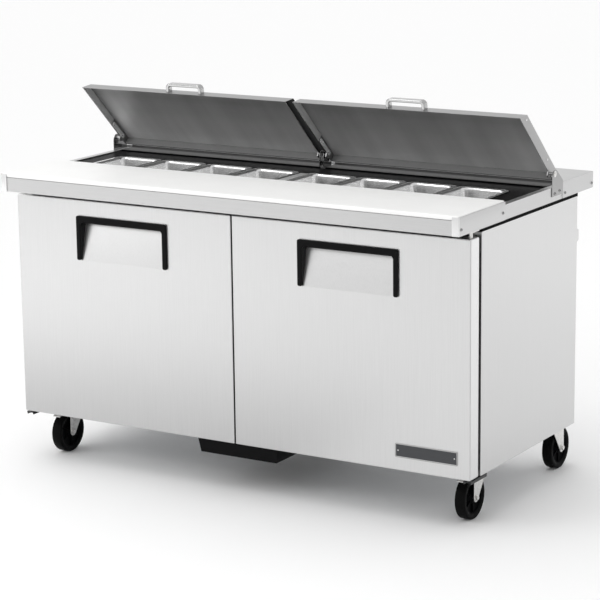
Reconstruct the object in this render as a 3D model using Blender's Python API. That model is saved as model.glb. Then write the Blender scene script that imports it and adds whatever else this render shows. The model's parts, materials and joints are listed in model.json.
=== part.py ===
"""Two-door refrigerated sandwich prep table on casters.

Metres, +Z up, the front towards -Y. The origin is on the floor under the middle of the top.
The two pan lids stand open at rest and the doors are shut.
"""

import math

import bmesh
import bpy
from mathutils import Matrix, Vector

# Overall sizes
TOP_WIDTH = 1.534
TOP_DEPTH = 0.860
WORK_HEIGHT = 0.900

# Clearances
SEAT_GAP = 0.0003
RUN_GAP = 0.0005

# Top: cutting board, steel frame, rear deck and the sheet brackets at its ends
BOARD_DEPTH = 0.272
BOARD_THICKNESS = 0.0127
BOARD_CLEARANCE = 0.0008
BOARD_EDGE = 0.003
FASCIA_HEIGHT = 0.042
RAIL_WIDTH = 0.0195
HINGE_RAIL_DEPTH = 0.058
DECK_DEPTH = 0.212
DECK_DROP = 0.006
SHEET = 0.0022
CORNER_FLANGE = 0.022
BRACKET_DROP = 0.003

# Moulded collar round the pans, and the pans
COLLAR_FLANGE = 0.0095
RIM_DROP = 0.003
FRONT_RIM = 0.0515
SIDE_RIM = 0.030
PAN_WIDTH = 0.162
PAN_LENGTH = 0.176
PAN_HEIGHT = 0.100
PAN_SPACING = 0.004
PAN_RIM = 0.011
PAN_RIM_THICKNESS = 0.002
PAN_REST = 0.008
PAN_WALL = 0.0012
PAN_TAPER = 0.008
PAN_CORNER = 0.018
DIVIDER_WIDTH = 0.032
DIVIDER_HEIGHT = 0.024

# Lids: pivot place, section and opening angle
LID_THICKNESS = 0.034
LID_SKIN = 0.002
LID_LINER_RECESS = 0.0235
LID_BEVEL = 0.030
LID_TAIL = 0.034
LID_FRONT_MARGIN = 0.049
LID_REST_ANGLE = math.radians(43.4)
LID_RISE = 0.017
LID_ARM_LENGTH = 0.066
LID_ARM_WIDTH = 0.014
LID_ARM_HEAD = 0.010
LID_PIN_RADIUS = 0.005
LID_PIN_REACH = 0.0148
LID_CENTRE_GAP = 0.004
PIVOT_SETBACK = 0.056
PIVOT_RISE = 0.038
PIVOT_HEAD = 0.011
LID_BRACKET_WIDTH = 0.0717
LID_BRACKET_LIFT = 0.015
CENTRE_BRACKET_WIDTH = 0.016
CENTRE_BRACKET_DEPTH = 0.046
LID_HANDLE_WIDTH = 0.126
LID_HANDLE_HEIGHT = 0.028
LID_HANDLE_STRAP = 0.022
LID_HANDLE_BAR = 0.010
LID_HANDLE_BEND = 0.014

# Cabinet
CABINET_INSET = 0.003
CABINET_SETBACK = 0.142
CABINET_DEPTH = 0.616
WALL = 0.045
PANEL_EDGE = 0.002
MULLION_WIDTH = 0.044
LEDGE = 0.012
SHELF_HEIGHT = 0.470
SHELF_BAR = 0.006
SHELF_PITCH = 0.030
SHELF_FRONT_GAP = 0.060
BUMPER_WIDTH = 0.050
BUMPER_HEIGHT = 0.044
BUMPER_DEPTH = 0.014
BUMPER_TOP_DROP = 0.095
TRAY_WIDTH = 0.272
TRAY_FRONT_REACH = 0.057
TRAY_BACK_MARGIN = 0.030
TRAY_HEIGHT = 0.0417
TRAY_WALL = 0.003
TRAY_SLOPE = 0.006

# Doors, with their pulls, gaskets and hinges
DOOR_THICKNESS = 0.050
DOOR_SPACING = 0.004
DOOR_TOP_GAP = 0.020
DOOR_BOTTOM_GAP = 0.003
DOOR_EDGE = 0.003
GASKET_DEPTH = 0.018
GASKET_WIDTH = 0.020
GASKET_INSET = 0.008
HINGE_INSET = 0.012
HINGE_PIN_RADIUS = 0.005
HINGE_PIN_REACH = 0.022
HINGE_PLATE = 0.003
HINGE_PLATE_WIDTH = 0.024
HINGE_PLATE_BACK = 0.040
PULL_WIDTH = 0.322
PULL_HEIGHT = 0.134
PULL_BAR = 0.019
PULL_LEG = 0.015
PULL_PROUD = 0.007
PULL_DROP = 0.047
PULL_LIP = 0.004
PULL_LIP_DEPTH = 0.022
RECESS_MARGIN = 0.0025
RECESS_DEPTH = 0.026

# Casters
WHEEL_DIAMETER = 0.127
WHEEL_WIDTH = 0.032
WHEEL_HEADROOM = 0.004
AXLE_RADIUS = 0.004
CASTER_INSET = 0.067
CASTER_TRAIL = 0.034
FRONT_STEM_SETBACK = 0.091
REAR_STEM_SETBACK = 0.028
FORK_SHEET = 0.003
FORK_SIDE_GAP = 0.0025
FORK_PLATE = 0.004
RACE_RADIUS = 0.024
RACE_HEIGHT = 0.0117
STEM_RADIUS = 0.006
STEM_LENGTH = 0.040
PEDAL_OFFSET = 0.030
PEDAL_LENGTH = 0.028
PEDAL_WIDTH = 0.026
PEDAL_THICKNESS = 0.004
PEDAL_RADIUS = 0.004
PEDAL_ANGLE = math.radians(20)

# Refrigeration
BAY_WIDTH = 0.530
BAY_HEIGHT = 0.193
BAY_DEPTH = 0.158
BAY_WALL = 0.015
GRILLE_MARGIN = 0.020
GRILLE_THICKNESS = 0.006
GRILLE_SLOT = 0.009
GRILLE_PITCH = 0.016
COMPRESSOR_RADIUS = 0.070
COMPRESSOR_HEIGHT = 0.165
COMPRESSOR_OFFSET = 0.150
COIL_THICKNESS = 0.050
COIL_SPAN = 0.150
COIL_END_GAP = 0.020
FAN_RADIUS = 0.062
FAN_HUB = 0.020
FAN_THICKNESS = 0.008
FAN_BLADES = 5
MOTOR_RADIUS = 0.022
MOTOR_LENGTH = 0.040
STRAP = 0.006
COVER_WIDTH = 0.600
COVER_HEIGHT = 0.220
COVER_DEPTH = 0.105
COVER_WALL = 0.003
COVER_TOP_DROP = 0.040

ROUND = 24
SMALL_ROUND = 16

# Places worked out from the sizes above
HALF = TOP_WIDTH / 2
FRONT = -TOP_DEPTH / 2
REAR = TOP_DEPTH / 2
SIDES = {"left": -1, "right": 1}

FRAME_HALF = HALF - SHEET - SEAT_GAP
FRAME_FRONT = FRONT + SHEET + SEAT_GAP
FRAME_TOP = WORK_HEIGHT - BOARD_THICKNESS - SEAT_GAP
FRAME_BOTTOM = FRAME_TOP - FASCIA_HEIGHT
BOARD_HALF = HALF - SHEET - BOARD_CLEARANCE
BOARD_FRONT = FRONT + SHEET + BOARD_CLEARANCE
BOARD_BACK = BOARD_FRONT + BOARD_DEPTH
DECK_FRONT = REAR - DECK_DEPTH
OPEN_HALF = FRAME_HALF - RAIL_WIDTH
OPEN_BACK = DECK_FRONT - HINGE_RAIL_DEPTH

FLANGE_TOP = FRAME_BOTTOM - SEAT_GAP
FLANGE_BOTTOM = FLANGE_TOP - COLLAR_FLANGE
RIM_TOP = FRAME_TOP - RIM_DROP
HOLE_FRONT = BOARD_BACK + FRONT_RIM
HOLE_BACK = HOLE_FRONT + PAN_LENGTH - 2 * PAN_REST
DIVIDER_HALF = DIVIDER_WIDTH / 2
PAN_PITCH = PAN_WIDTH + PAN_SPACING
PANS_PER_BAY = int((OPEN_HALF - SIDE_RIM - DIVIDER_HALF) / PAN_PITCH)
HOLE_HALF = DIVIDER_HALF + PANS_PER_BAY * PAN_PITCH

WHEEL_RADIUS = WHEEL_DIAMETER / 2
FORK_UNDER = WHEEL_DIAMETER + WHEEL_HEADROOM
FORK_TOP = FORK_UNDER + FORK_PLATE
RACE_TOP = FORK_TOP + RACE_HEIGHT
CABINET_BOTTOM = RACE_TOP + SEAT_GAP
CABINET_TOP = FLANGE_BOTTOM - SEAT_GAP
CABINET_HALF = HALF - CABINET_INSET
CABINET_FRONT = FRONT + CABINET_SETBACK
CABINET_BACK = CABINET_FRONT + CABINET_DEPTH
INNER_HALF = CABINET_HALF - WALL
INNER_BACK = CABINET_BACK - WALL
FLOOR_TOP = CABINET_BOTTOM + WALL
LEDGE_TOP = SHELF_HEIGHT - SEAT_GAP

DOOR_BACK = CABINET_FRONT - GASKET_DEPTH
DOOR_FRONT = DOOR_BACK - DOOR_THICKNESS
DOOR_TOP = FRAME_BOTTOM - DOOR_TOP_GAP
DOOR_BOTTOM = CABINET_BOTTOM + DOOR_BOTTOM_GAP
DOOR_OUTER = CABINET_HALF
DOOR_INNER = DOOR_SPACING / 2
DOOR_MIDDLE = (DOOR_OUTER + DOOR_INNER) / 2
HINGE_X = DOOR_OUTER - HINGE_INSET
HINGE_Y = (DOOR_FRONT + DOOR_BACK) / 2
PULL_TOP = DOOR_TOP - PULL_DROP
PULL_BOTTOM = PULL_TOP - PULL_HEIGHT

PIVOT_Y = DECK_FRONT - PIVOT_SETBACK
PIVOT_Z = FRAME_TOP + PIVOT_RISE
LID_REACH = PIVOT_Y - BOARD_BACK - LID_FRONT_MARGIN
LID_HALF = LID_THICKNESS / 2
CENTRE_BRACKET_HALF = CENTRE_BRACKET_WIDTH / 2
LID_INNER = CENTRE_BRACKET_HALF + LID_CENTRE_GAP
LID_OUTER = HALF - SHEET - LID_PIN_REACH

CASTER_X = HALF - CASTER_INSET
FORK_INNER = WHEEL_WIDTH / 2 + FORK_SIDE_GAP
FORK_OUTER = FORK_INNER + FORK_SHEET

BAY_HALF = BAY_WIDTH / 2
BAY_FLOOR = FLOOR_TOP + SEAT_GAP
BAY_TOP = BAY_FLOOR + BAY_HEIGHT
BAY_FRONT = INNER_BACK - BAY_DEPTH
BAY_MIDDLE = (BAY_FRONT + CABINET_BACK) / 2


# Finishes: base colour, roughness and metallic value
FINISHES = {
    "brushed_steel": ((0.62, 0.62, 0.62), 0.32, 1.0),
    "bright_steel": ((0.70, 0.70, 0.70), 0.20, 1.0),
    "dark_liner": ((0.11, 0.11, 0.11), 0.45, 0.6),
    "white_board": ((0.88, 0.88, 0.87), 0.45, 0.0),
    "black_plastic": ((0.010, 0.010, 0.011), 0.40, 0.0),
    "black_rubber": ((0.008, 0.008, 0.008), 0.65, 0.0),
    "zinc": ((0.66, 0.66, 0.65), 0.30, 1.0),
    "white_liner": ((0.72, 0.73, 0.74), 0.40, 0.2),
    "coated_wire": ((0.80, 0.80, 0.79), 0.45, 0.0),
    "copper_fins": ((0.55, 0.52, 0.48), 0.45, 0.8),
    "black_enamel": ((0.015, 0.015, 0.016), 0.35, 0.0),
}


def clear_scene():
    """Empties the file of objects."""
    for item in list(bpy.data.objects):
        bpy.data.objects.remove(item, do_unlink=True)


def finish_material(finish):
    """The Principled material of a named finish, made once."""
    found = bpy.data.materials.get(finish)
    if found:
        return found
    colour, roughness, metallic = FINISHES[finish]
    made = bpy.data.materials.new(finish)
    made.use_nodes = True
    shader = made.node_tree.nodes["Principled BSDF"]
    shader.inputs["Base Color"].default_value = (*colour, 1.0)
    shader.inputs["Roughness"].default_value = roughness
    shader.inputs["Metallic"].default_value = metallic
    return made


def mesh_object(name, points, faces, finish):
    """A closed mesh object from points and faces, with its faces turned outwards."""
    shape = bmesh.new()
    corners = [shape.verts.new(point) for point in points]
    for face in faces:
        shape.faces.new([corners[index] for index in face])
    bmesh.ops.recalc_face_normals(shape, faces=shape.faces)
    mesh = bpy.data.meshes.new(name)
    shape.to_mesh(mesh)
    shape.free()
    mesh.materials.append(finish_material(finish))
    made = bpy.data.objects.new(name, mesh)
    bpy.context.collection.objects.link(made)
    return made


def loft(name, loops, finish, ring=False):
    """Bridges loops of equally many points, and caps the ends or closes them into a ring."""
    count = len(loops[0])
    points = [point for loop in loops for point in loop]
    pairs = len(loops) if ring else len(loops) - 1
    faces = []
    for row in range(pairs):
        here = row * count
        there = ((row + 1) % len(loops)) * count
        for step in range(count):
            after = (step + 1) % count
            faces.append((here + step, here + after, there + after, there + step))
    if not ring:
        faces.append(tuple(range(count)))
        faces.append(tuple(range(len(points) - count, len(points))))
    return mesh_object(name, points, faces, finish)


def place_on_axis(axis, along, first, second):
    """A 3-D point from a distance along an axis and the two coordinates across it."""
    if axis == "X":
        return Vector((along, first, second))
    if axis == "Y":
        return Vector((first, along, second))
    return Vector((first, second, along))


def prism(name, outline, axis, start, stop, finish):
    """Extrudes a flat outline along an axis, from start to stop."""
    loops = [[place_on_axis(axis, along, *point) for point in outline] for along in (start, stop)]
    return loft(name, loops, finish)


def rectangle(low_first, low_second, high_first, high_second):
    """The four corners of a rectangle."""
    return [
        (low_first, low_second),
        (high_first, low_second),
        (high_first, high_second),
        (low_first, high_second),
    ]


def block(name, low, high, finish):
    """A box between two corners."""
    return prism(name, rectangle(low[0], low[1], high[0], high[1]), "Z", low[2], high[2], finish)


def ring_frame(name, outer, inner, axis, start, stop, finish):
    """A rectangular frame: an outer and an inner rectangle extruded along an axis."""
    loops = []
    for outline, along in ((outer, start), (outer, stop), (inner, stop), (inner, start)):
        loops.append([place_on_axis(axis, along, *point) for point in outline])
    return loft(name, loops, finish, ring=True)


def circle(radius, steps, middle=(0.0, 0.0)):
    """Points round a circle, with one at its lowest place."""
    points = []
    for step in range(steps):
        angle = 2 * math.pi * step / steps - math.pi / 2
        points.append((middle[0] + radius * math.cos(angle), middle[1] + radius * math.sin(angle)))
    return points


def rod(name, radius, axis, start, stop, middle, finish, steps=SMALL_ROUND):
    """A round bar along an axis."""
    made = prism(name, circle(radius, steps, middle), axis, start, stop, finish)
    smooth(made)
    return made


def turned(name, profile, axis, finish, ring=False, steps=ROUND, middle=(0.0, 0.0)):
    """Turns a profile of radius and distance pairs round an axis."""
    loops = []
    for radius, along in profile:
        loops.append([place_on_axis(axis, along, *point) for point in circle(radius, steps, middle)])
    made = loft(name, loops, finish, ring=ring)
    smooth(made)
    return made


def smooth(item):
    """Shades a round piece smooth, with its edges left sharp."""
    item.data.shade_smooth()
    item.data.set_sharp_from_angle(angle=math.radians(35))


def soften(item, width, steps=2):
    """Rounds the sharp edges of a piece."""
    bevel = item.modifiers.new("edge_round", "BEVEL")
    bevel.width = width
    bevel.segments = steps
    bevel.limit_method = "ANGLE"


def combine(item, tool, operation):
    """Joins a tool shape to a piece, or cuts it out, and keeps the tool as a hidden guide."""
    change = item.modifiers.new(tool.name, "BOOLEAN")
    change.operation = operation
    change.object = tool
    change.solver = "EXACT"
    tool.hide_render = True
    tool.display_type = "WIRE"


def cut(item, tool):
    """Cuts a tool shape out of a piece."""
    combine(item, tool, "DIFFERENCE")


def fuse(item, tool):
    """Joins a tool shape to a piece as one body."""
    combine(item, tool, "UNION")


def axis_empty(name, place, turn=0.0):
    """An empty on a joint's axis, turned about X."""
    empty = bpy.data.objects.new(name, None)
    empty.location = place
    empty.rotation_euler = (turn, 0.0, 0.0)
    bpy.context.collection.objects.link(empty)
    return empty


def hang_on(item, empty):
    """Parents a piece that is drawn in the empty's own frame."""
    item.parent = empty


def hang_in_place(item, empty):
    """Parents a piece that is drawn in the world's frame, and keeps it where it is."""
    item.parent = empty
    item.matrix_parent_inverse = Matrix.Translation(empty.location).inverted()


def build_walls():
    """Side panels with shelf ledges, back panel with the machine bay, floor and mullion."""
    ledge_front = CABINET_FRONT + SHELF_FRONT_GAP
    for side, sign in SIDES.items():
        outline = [
            (INNER_HALF, CABINET_BOTTOM),
            (CABINET_HALF, CABINET_BOTTOM),
            (CABINET_HALF, CABINET_TOP),
            (INNER_HALF, CABINET_TOP),
        ]
        panel = prism(
            f"side_panel_{side}",
            [(sign * x, z) for x, z in outline],
            "Y", CABINET_FRONT, CABINET_BACK, "brushed_steel",
        )
        soften(panel, PANEL_EDGE, 1)
        inner, reach = sign * (INNER_HALF + LEDGE), sign * (INNER_HALF - LEDGE)
        ledge = block(
            f"ledge_{side}",
            (min(inner, reach), ledge_front, LEDGE_TOP - LEDGE),
            (max(inner, reach), INNER_BACK - LEDGE - RUN_GAP, LEDGE_TOP),
            "white_liner",
        )
        fuse(panel, ledge)

    floor = block(
        "cabinet_floor",
        (-INNER_HALF + SEAT_GAP, CABINET_FRONT, CABINET_BOTTOM),
        (INNER_HALF - SEAT_GAP, CABINET_BACK, FLOOR_TOP),
        "white_liner",
    )
    for corner, x, y in stem_places():
        hole = rod(
            f"stem_hole_{corner}", STEM_RADIUS + RUN_GAP, "Z",
            CABINET_BOTTOM - STEM_RADIUS, RACE_TOP + STEM_LENGTH + RUN_GAP, (x, y), "zinc",
        )
        cut(floor, hole)

    back = block(
        "back_panel",
        (-INNER_HALF + SEAT_GAP, INNER_BACK, BAY_FLOOR),
        (INNER_HALF - SEAT_GAP, CABINET_BACK, CABINET_TOP),
        "white_liner",
    )
    housing = block(
        "bay_housing",
        (-BAY_HALF - BAY_WALL, BAY_FRONT - BAY_WALL, BAY_FLOOR),
        (BAY_HALF + BAY_WALL, INNER_BACK + LEDGE, BAY_TOP + BAY_WALL),
        "white_liner",
    )
    fuse(back, housing)
    space = block(
        "bay_space",
        (-BAY_HALF, BAY_FRONT, BAY_FLOOR - BAY_WALL),
        (BAY_HALF, CABINET_BACK + WALL, BAY_TOP),
        "white_liner",
    )
    cut(back, space)
    ledge = block(
        "ledge_back",
        (-INNER_HALF + LEDGE + RUN_GAP, INNER_BACK - LEDGE, LEDGE_TOP - LEDGE),
        (INNER_HALF - LEDGE - RUN_GAP, INNER_BACK + LEDGE, LEDGE_TOP),
        "white_liner",
    )
    fuse(back, ledge)

    mullion = block(
        "centre_mullion",
        (-MULLION_WIDTH / 2, CABINET_FRONT, FLOOR_TOP + SEAT_GAP),
        (MULLION_WIDTH / 2, CABINET_FRONT + WALL, CABINET_TOP),
        "white_liner",
    )
    rest = block(
        "ledge_mullion",
        (-MULLION_WIDTH / 2 + PANEL_EDGE, CABINET_FRONT + WALL / 2, LEDGE_TOP - LEDGE),
        (MULLION_WIDTH / 2 - PANEL_EDGE, ledge_front + 2 * LEDGE, LEDGE_TOP),
        "white_liner",
    )
    fuse(mullion, rest)


def build_shelves():
    """A barred shelf in each half of the cabinet, resting on the ledges."""
    front = CABINET_FRONT + SHELF_FRONT_GAP
    back = INNER_BACK - RUN_GAP
    inner = RUN_GAP
    outer = INNER_HALF - RUN_GAP
    bars = int((outer - inner - SHELF_BAR) / SHELF_PITCH)
    pitch = (outer - inner - SHELF_BAR) / bars
    for side, sign in SIDES.items():
        shelf = block(
            f"shelf_{side}",
            (min(sign * inner, sign * outer), front, SHELF_HEIGHT),
            (max(sign * inner, sign * outer), back, SHELF_HEIGHT + SHELF_BAR),
            "coated_wire",
        )
        slots = []
        for index in range(bars):
            start = sign * (inner + SHELF_BAR + index * pitch)
            stop = sign * (inner + (index + 1) * pitch)
            slots.append(rectangle(start, front + 2 * SHELF_BAR, stop, back - 2 * SHELF_BAR))
        through = (SHELF_HEIGHT - SHELF_BAR, SHELF_HEIGHT + 2 * SHELF_BAR)
        cut(shelf, slot_cutter(f"shelf_slots_{side}", slots, "Z", through))


def slot_cutter(name, slots, axis, through):
    """One cutter of separate slots: flat outlines, each extruded through the plate."""
    points = []
    faces = []
    for slot in slots:
        base = len(points)
        for along in through:
            points += [place_on_axis(axis, along, *corner) for corner in slot]
        faces.append((base, base + 1, base + 2, base + 3))
        faces.append((base + 4, base + 5, base + 6, base + 7))
        for step in range(4):
            after = (step + 1) % 4
            faces.append((base + step, base + after, base + 4 + after, base + 4 + step))
    return mesh_object(name, points, faces, "zinc")


def build_top():
    """Steel top frame, moulded collar, divider, rear deck, end brackets and cutting board."""
    ring_frame(
        "top_frame",
        rectangle(-FRAME_HALF, FRAME_FRONT, FRAME_HALF, DECK_FRONT - SEAT_GAP),
        rectangle(-OPEN_HALF, BOARD_BACK, OPEN_HALF, OPEN_BACK),
        "Z", FRAME_BOTTOM, FRAME_TOP, "brushed_steel",
    )
    flange = rectangle(-CABINET_HALF, CABINET_FRONT, CABINET_HALF, CABINET_BACK)
    rim = rectangle(
        -OPEN_HALF + RUN_GAP, BOARD_BACK + RUN_GAP, OPEN_HALF - RUN_GAP, OPEN_BACK - RUN_GAP
    )
    hole = rectangle(-HOLE_HALF, HOLE_FRONT, HOLE_HALF, HOLE_BACK)
    levels = (
        (flange, FLANGE_BOTTOM),
        (flange, FLANGE_TOP),
        (rim, FLANGE_TOP),
        (rim, RIM_TOP),
        (hole, RIM_TOP),
        (hole, FLANGE_BOTTOM),
    )
    loops = [[place_on_axis("Z", level, *point) for point in outline] for outline, level in levels]
    loft("pan_collar", loops, "black_plastic", ring=True)
    block(
        "divider_bar",
        (-DIVIDER_HALF, HOLE_FRONT + SEAT_GAP, RIM_TOP - DIVIDER_HEIGHT),
        (DIVIDER_HALF, HOLE_BACK - SEAT_GAP, RIM_TOP),
        "dark_liner",
    )
    deck = block(
        "rear_deck",
        (-HALF, DECK_FRONT, FRAME_BOTTOM),
        (HALF, REAR, WORK_HEIGHT - DECK_DROP),
        "brushed_steel",
    )
    soften(deck, PANEL_EDGE)
    board = block(
        "cutting_board",
        (-BOARD_HALF, BOARD_FRONT, FRAME_TOP + SEAT_GAP),
        (BOARD_HALF, BOARD_BACK, WORK_HEIGHT),
        "white_board",
    )
    soften(board, BOARD_EDGE)
    corner = [
        (HALF, FRONT),
        (HALF, BOARD_BACK),
        (HALF - SHEET, BOARD_BACK),
        (HALF - SHEET, FRONT + SHEET),
        (HALF - CORNER_FLANGE, FRONT + SHEET),
        (HALF - CORNER_FLANGE, FRONT),
    ]
    for side, sign in SIDES.items():
        prism(
            f"board_bracket_{side}",
            [(sign * x, y) for x, y in corner],
            "Z", FRAME_BOTTOM, WORK_HEIGHT - BRACKET_DROP, "brushed_steel",
        )


def rounded_rectangle(half_first, half_second, radius, middle, steps=3):
    """Points round a rectangle with round corners."""
    points = []
    for quarter, (first, second) in enumerate(((1, 1), (-1, 1), (-1, -1), (1, -1))):
        for step in range(steps):
            angle = math.pi / 2 * (quarter + step / (steps - 1))
            points.append((
                middle[0] + first * (half_first - radius) + radius * math.cos(angle),
                middle[1] + second * (half_second - radius) + radius * math.sin(angle),
            ))
    return points


def build_pans():
    """The row of food pans, hung by their rims on the collar."""
    rim_low = RIM_TOP + SEAT_GAP
    rim_high = rim_low + PAN_RIM_THICKNESS
    bottom = rim_high - PAN_HEIGHT
    middle_y = (HOLE_FRONT + HOLE_BACK) / 2
    body = (PAN_WIDTH / 2 - PAN_RIM, PAN_LENGTH / 2 - PAN_RIM)
    number = 0
    for sign in (-1, 1):
        for place in range(PANS_PER_BAY):
            slot = PANS_PER_BAY - 1 - place if sign < 0 else place
            middle_x = sign * (DIVIDER_HALF + (slot + 0.5) * PAN_PITCH)
            number += 1
            loops = []
            for grow, radius, level in (
                (-PAN_TAPER, PAN_CORNER, bottom),
                (0.0, PAN_CORNER, rim_low),
                (PAN_RIM, PAN_CORNER, rim_low),
                (PAN_RIM, PAN_CORNER, rim_high),
                (-PAN_WALL, PAN_CORNER - PAN_WALL, rim_high),
                (-PAN_TAPER - PAN_WALL, PAN_CORNER - PAN_WALL, bottom + PAN_WALL),
            ):
                outline = rounded_rectangle(
                    body[0] + grow, body[1] + grow, radius, (middle_x, middle_y)
                )
                loops.append([place_on_axis("Z", level, *point) for point in outline])
            smooth(loft(f"food_pan_{number}", loops, "bright_steel"))


def build_lid_brackets():
    """The pivot plates of the lids: one at each end and a channel between the lids."""
    front = DECK_FRONT - SEAT_GAP - LID_BRACKET_WIDTH
    back = DECK_FRONT - SEAT_GAP
    foot = FRAME_BOTTOM + LID_BRACKET_LIFT
    top = PIVOT_Z + PIVOT_HEAD
    outline = [
        (front, foot),
        (back, foot),
        (back, WORK_HEIGHT),
        (PIVOT_Y + PIVOT_HEAD, top),
        (PIVOT_Y - PIVOT_HEAD / 2, top),
        (front, PIVOT_Z),
    ]
    pin_hole = LID_PIN_RADIUS + RUN_GAP
    for side, sign in SIDES.items():
        plate = prism(
            f"lid_bracket_{side}", outline, "X", sign * (HALF - SHEET), sign * HALF, "bright_steel"
        )
        hole = rod(
            f"pivot_hole_{side}", pin_hole, "X", sign * (HALF - 2 * SHEET), sign * (HALF + SHEET),
            (PIVOT_Y, PIVOT_Z), "zinc",
        )
        cut(plate, hole)

    half = CENTRE_BRACKET_HALF
    base = FRAME_TOP + SEAT_GAP
    channel = [
        (-half, base),
        (half, base),
        (half, top),
        (half - SHEET, top),
        (half - SHEET, base + SHEET),
        (-half + SHEET, base + SHEET),
        (-half + SHEET, top),
        (-half, top),
    ]
    bracket = prism(
        "lid_bracket_centre", channel, "Y",
        PIVOT_Y - PIVOT_HEAD, PIVOT_Y - PIVOT_HEAD + CENTRE_BRACKET_DEPTH, "bright_steel",
    )
    hole = rod(
        "pivot_hole_centre", pin_hole, "X", -CENTRE_BRACKET_WIDTH, CENTRE_BRACKET_WIDTH,
        (PIVOT_Y, PIVOT_Z), "zinc",
    )
    cut(bracket, hole)


def lid_front(level, skin):
    """How far the sloped front face reaches from the pivot at a level above the lid's mid-plane."""
    slope = LID_BEVEL / LID_THICKNESS
    thinning = skin * math.hypot(1.0, slope)
    return LID_REACH - (level + LID_HALF) * slope - thinning


def lid_loop(sign, inner, outer, tail, reach, level):
    """A rectangle across a lid in the pivot's frame, where -Y runs to the free edge."""
    low, high = sorted((sign * inner, sign * outer))
    return [Vector((x, y, level + LID_RISE)) for x, y in rectangle(low, -reach, high, tail)]


def build_lids():
    """Each lid: a steel shell with hinge arms and pins, a recessed liner and a strap handle."""
    for side, sign in SIDES.items():
        pivot = axis_empty(f"lid_axis_{side}", (0.0, PIVOT_Y, PIVOT_Z), -LID_REST_ANGLE)
        inside = LID_HALF - LID_SKIN
        inner, outer = LID_INNER + LID_SKIN, LID_OUTER - LID_SKIN
        tail = LID_TAIL - LID_SKIN
        shell = loft(
            f"lid_shell_{side}",
            [
                lid_loop(sign, inner, outer, tail, lid_front(inside, LID_SKIN), inside),
                lid_loop(sign, inner, outer, tail, lid_front(-LID_HALF, LID_SKIN), -LID_HALF),
                lid_loop(sign, LID_INNER, LID_OUTER, LID_TAIL, lid_front(-LID_HALF, 0.0), -LID_HALF),
                lid_loop(sign, LID_INNER, LID_OUTER, LID_TAIL, lid_front(LID_HALF, 0.0), LID_HALF),
            ],
            "brushed_steel",
        )
        hang_on(shell, pivot)
        head = LID_ARM_HEAD
        arm_outline = [
            (-LID_ARM_LENGTH, head / 5),
            (-head, head / 5),
            (-head / 2, -head),
            (head / 2, -head),
            (head, -head / 2),
            (head, LID_ARM_WIDTH),
            (-LID_ARM_LENGTH, LID_ARM_WIDTH),
        ]
        arms = {
            "outer": (LID_OUTER - 2 * LID_SKIN, LID_OUTER - LID_SKIN / 2),
            "inner": (LID_INNER + LID_SKIN / 2, LID_INNER + 2 * LID_SKIN),
        }
        for end, (start, stop) in arms.items():
            arm = prism(
                f"lid_arm_{end}_{side}", arm_outline, "X", *sorted((sign * start, sign * stop)),
                "bright_steel",
            )
            hang_on(arm, pivot)
            fuse(shell, arm)
        pins = {
            "outer": (LID_OUTER - 2.5 * LID_SKIN, HALF),
            "inner": (CENTRE_BRACKET_HALF - SHEET, LID_INNER + 2.5 * LID_SKIN),
        }
        for end, (start, stop) in pins.items():
            pin = rod(
                f"lid_pin_{end}_{side}", LID_PIN_RADIUS, "X", sign * start, sign * stop,
                (0.0, 0.0), "bright_steel",
            )
            hang_on(pin, pivot)
            fuse(shell, pin)

        low = -LID_HALF + LID_LINER_RECESS
        high = inside - SEAT_GAP
        thin = LID_SKIN + SEAT_GAP
        loops = []
        for level in (low, high):
            loops.append(lid_loop(
                sign, LID_INNER + thin, LID_OUTER - thin, LID_TAIL - thin,
                lid_front(level, thin), level,
            ))
        hang_on(loft(f"lid_liner_{side}", loops, "dark_liner"), pivot)
        hang_on(lid_handle(side, sign), pivot)


def lid_handle(side, sign):
    """A bent strap on the sloped front face of a lid."""
    half = LID_HANDLE_WIDTH / 2
    bend = LID_HANDLE_BEND
    bar = LID_HANDLE_BAR
    height = LID_HANDLE_HEIGHT
    outline = [
        (-half, SEAT_GAP),
        (-half, height - bend),
        (-half + bend, height),
        (half - bend, height),
        (half, height - bend),
        (half, SEAT_GAP),
        (half - bar, SEAT_GAP),
        (half - bar, height - bend),
        (half - bend, height - bar),
        (-half + bend, height - bar),
        (-half + bar, height - bend),
        (-half + bar, SEAT_GAP),
    ]
    strap = prism(
        f"lid_handle_{side}", outline, "Y", -LID_HANDLE_STRAP / 2, LID_HANDLE_STRAP / 2,
        "bright_steel",
    )
    lean = math.atan2(LID_THICKNESS, LID_BEVEL)
    middle = Vector((sign * (LID_INNER + LID_OUTER) / 2, -lid_front(0.0, 0.0), LID_RISE))
    strap.matrix_basis = Matrix.Translation(middle) @ Matrix.Rotation(lean, 4, "X")
    return strap


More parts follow.
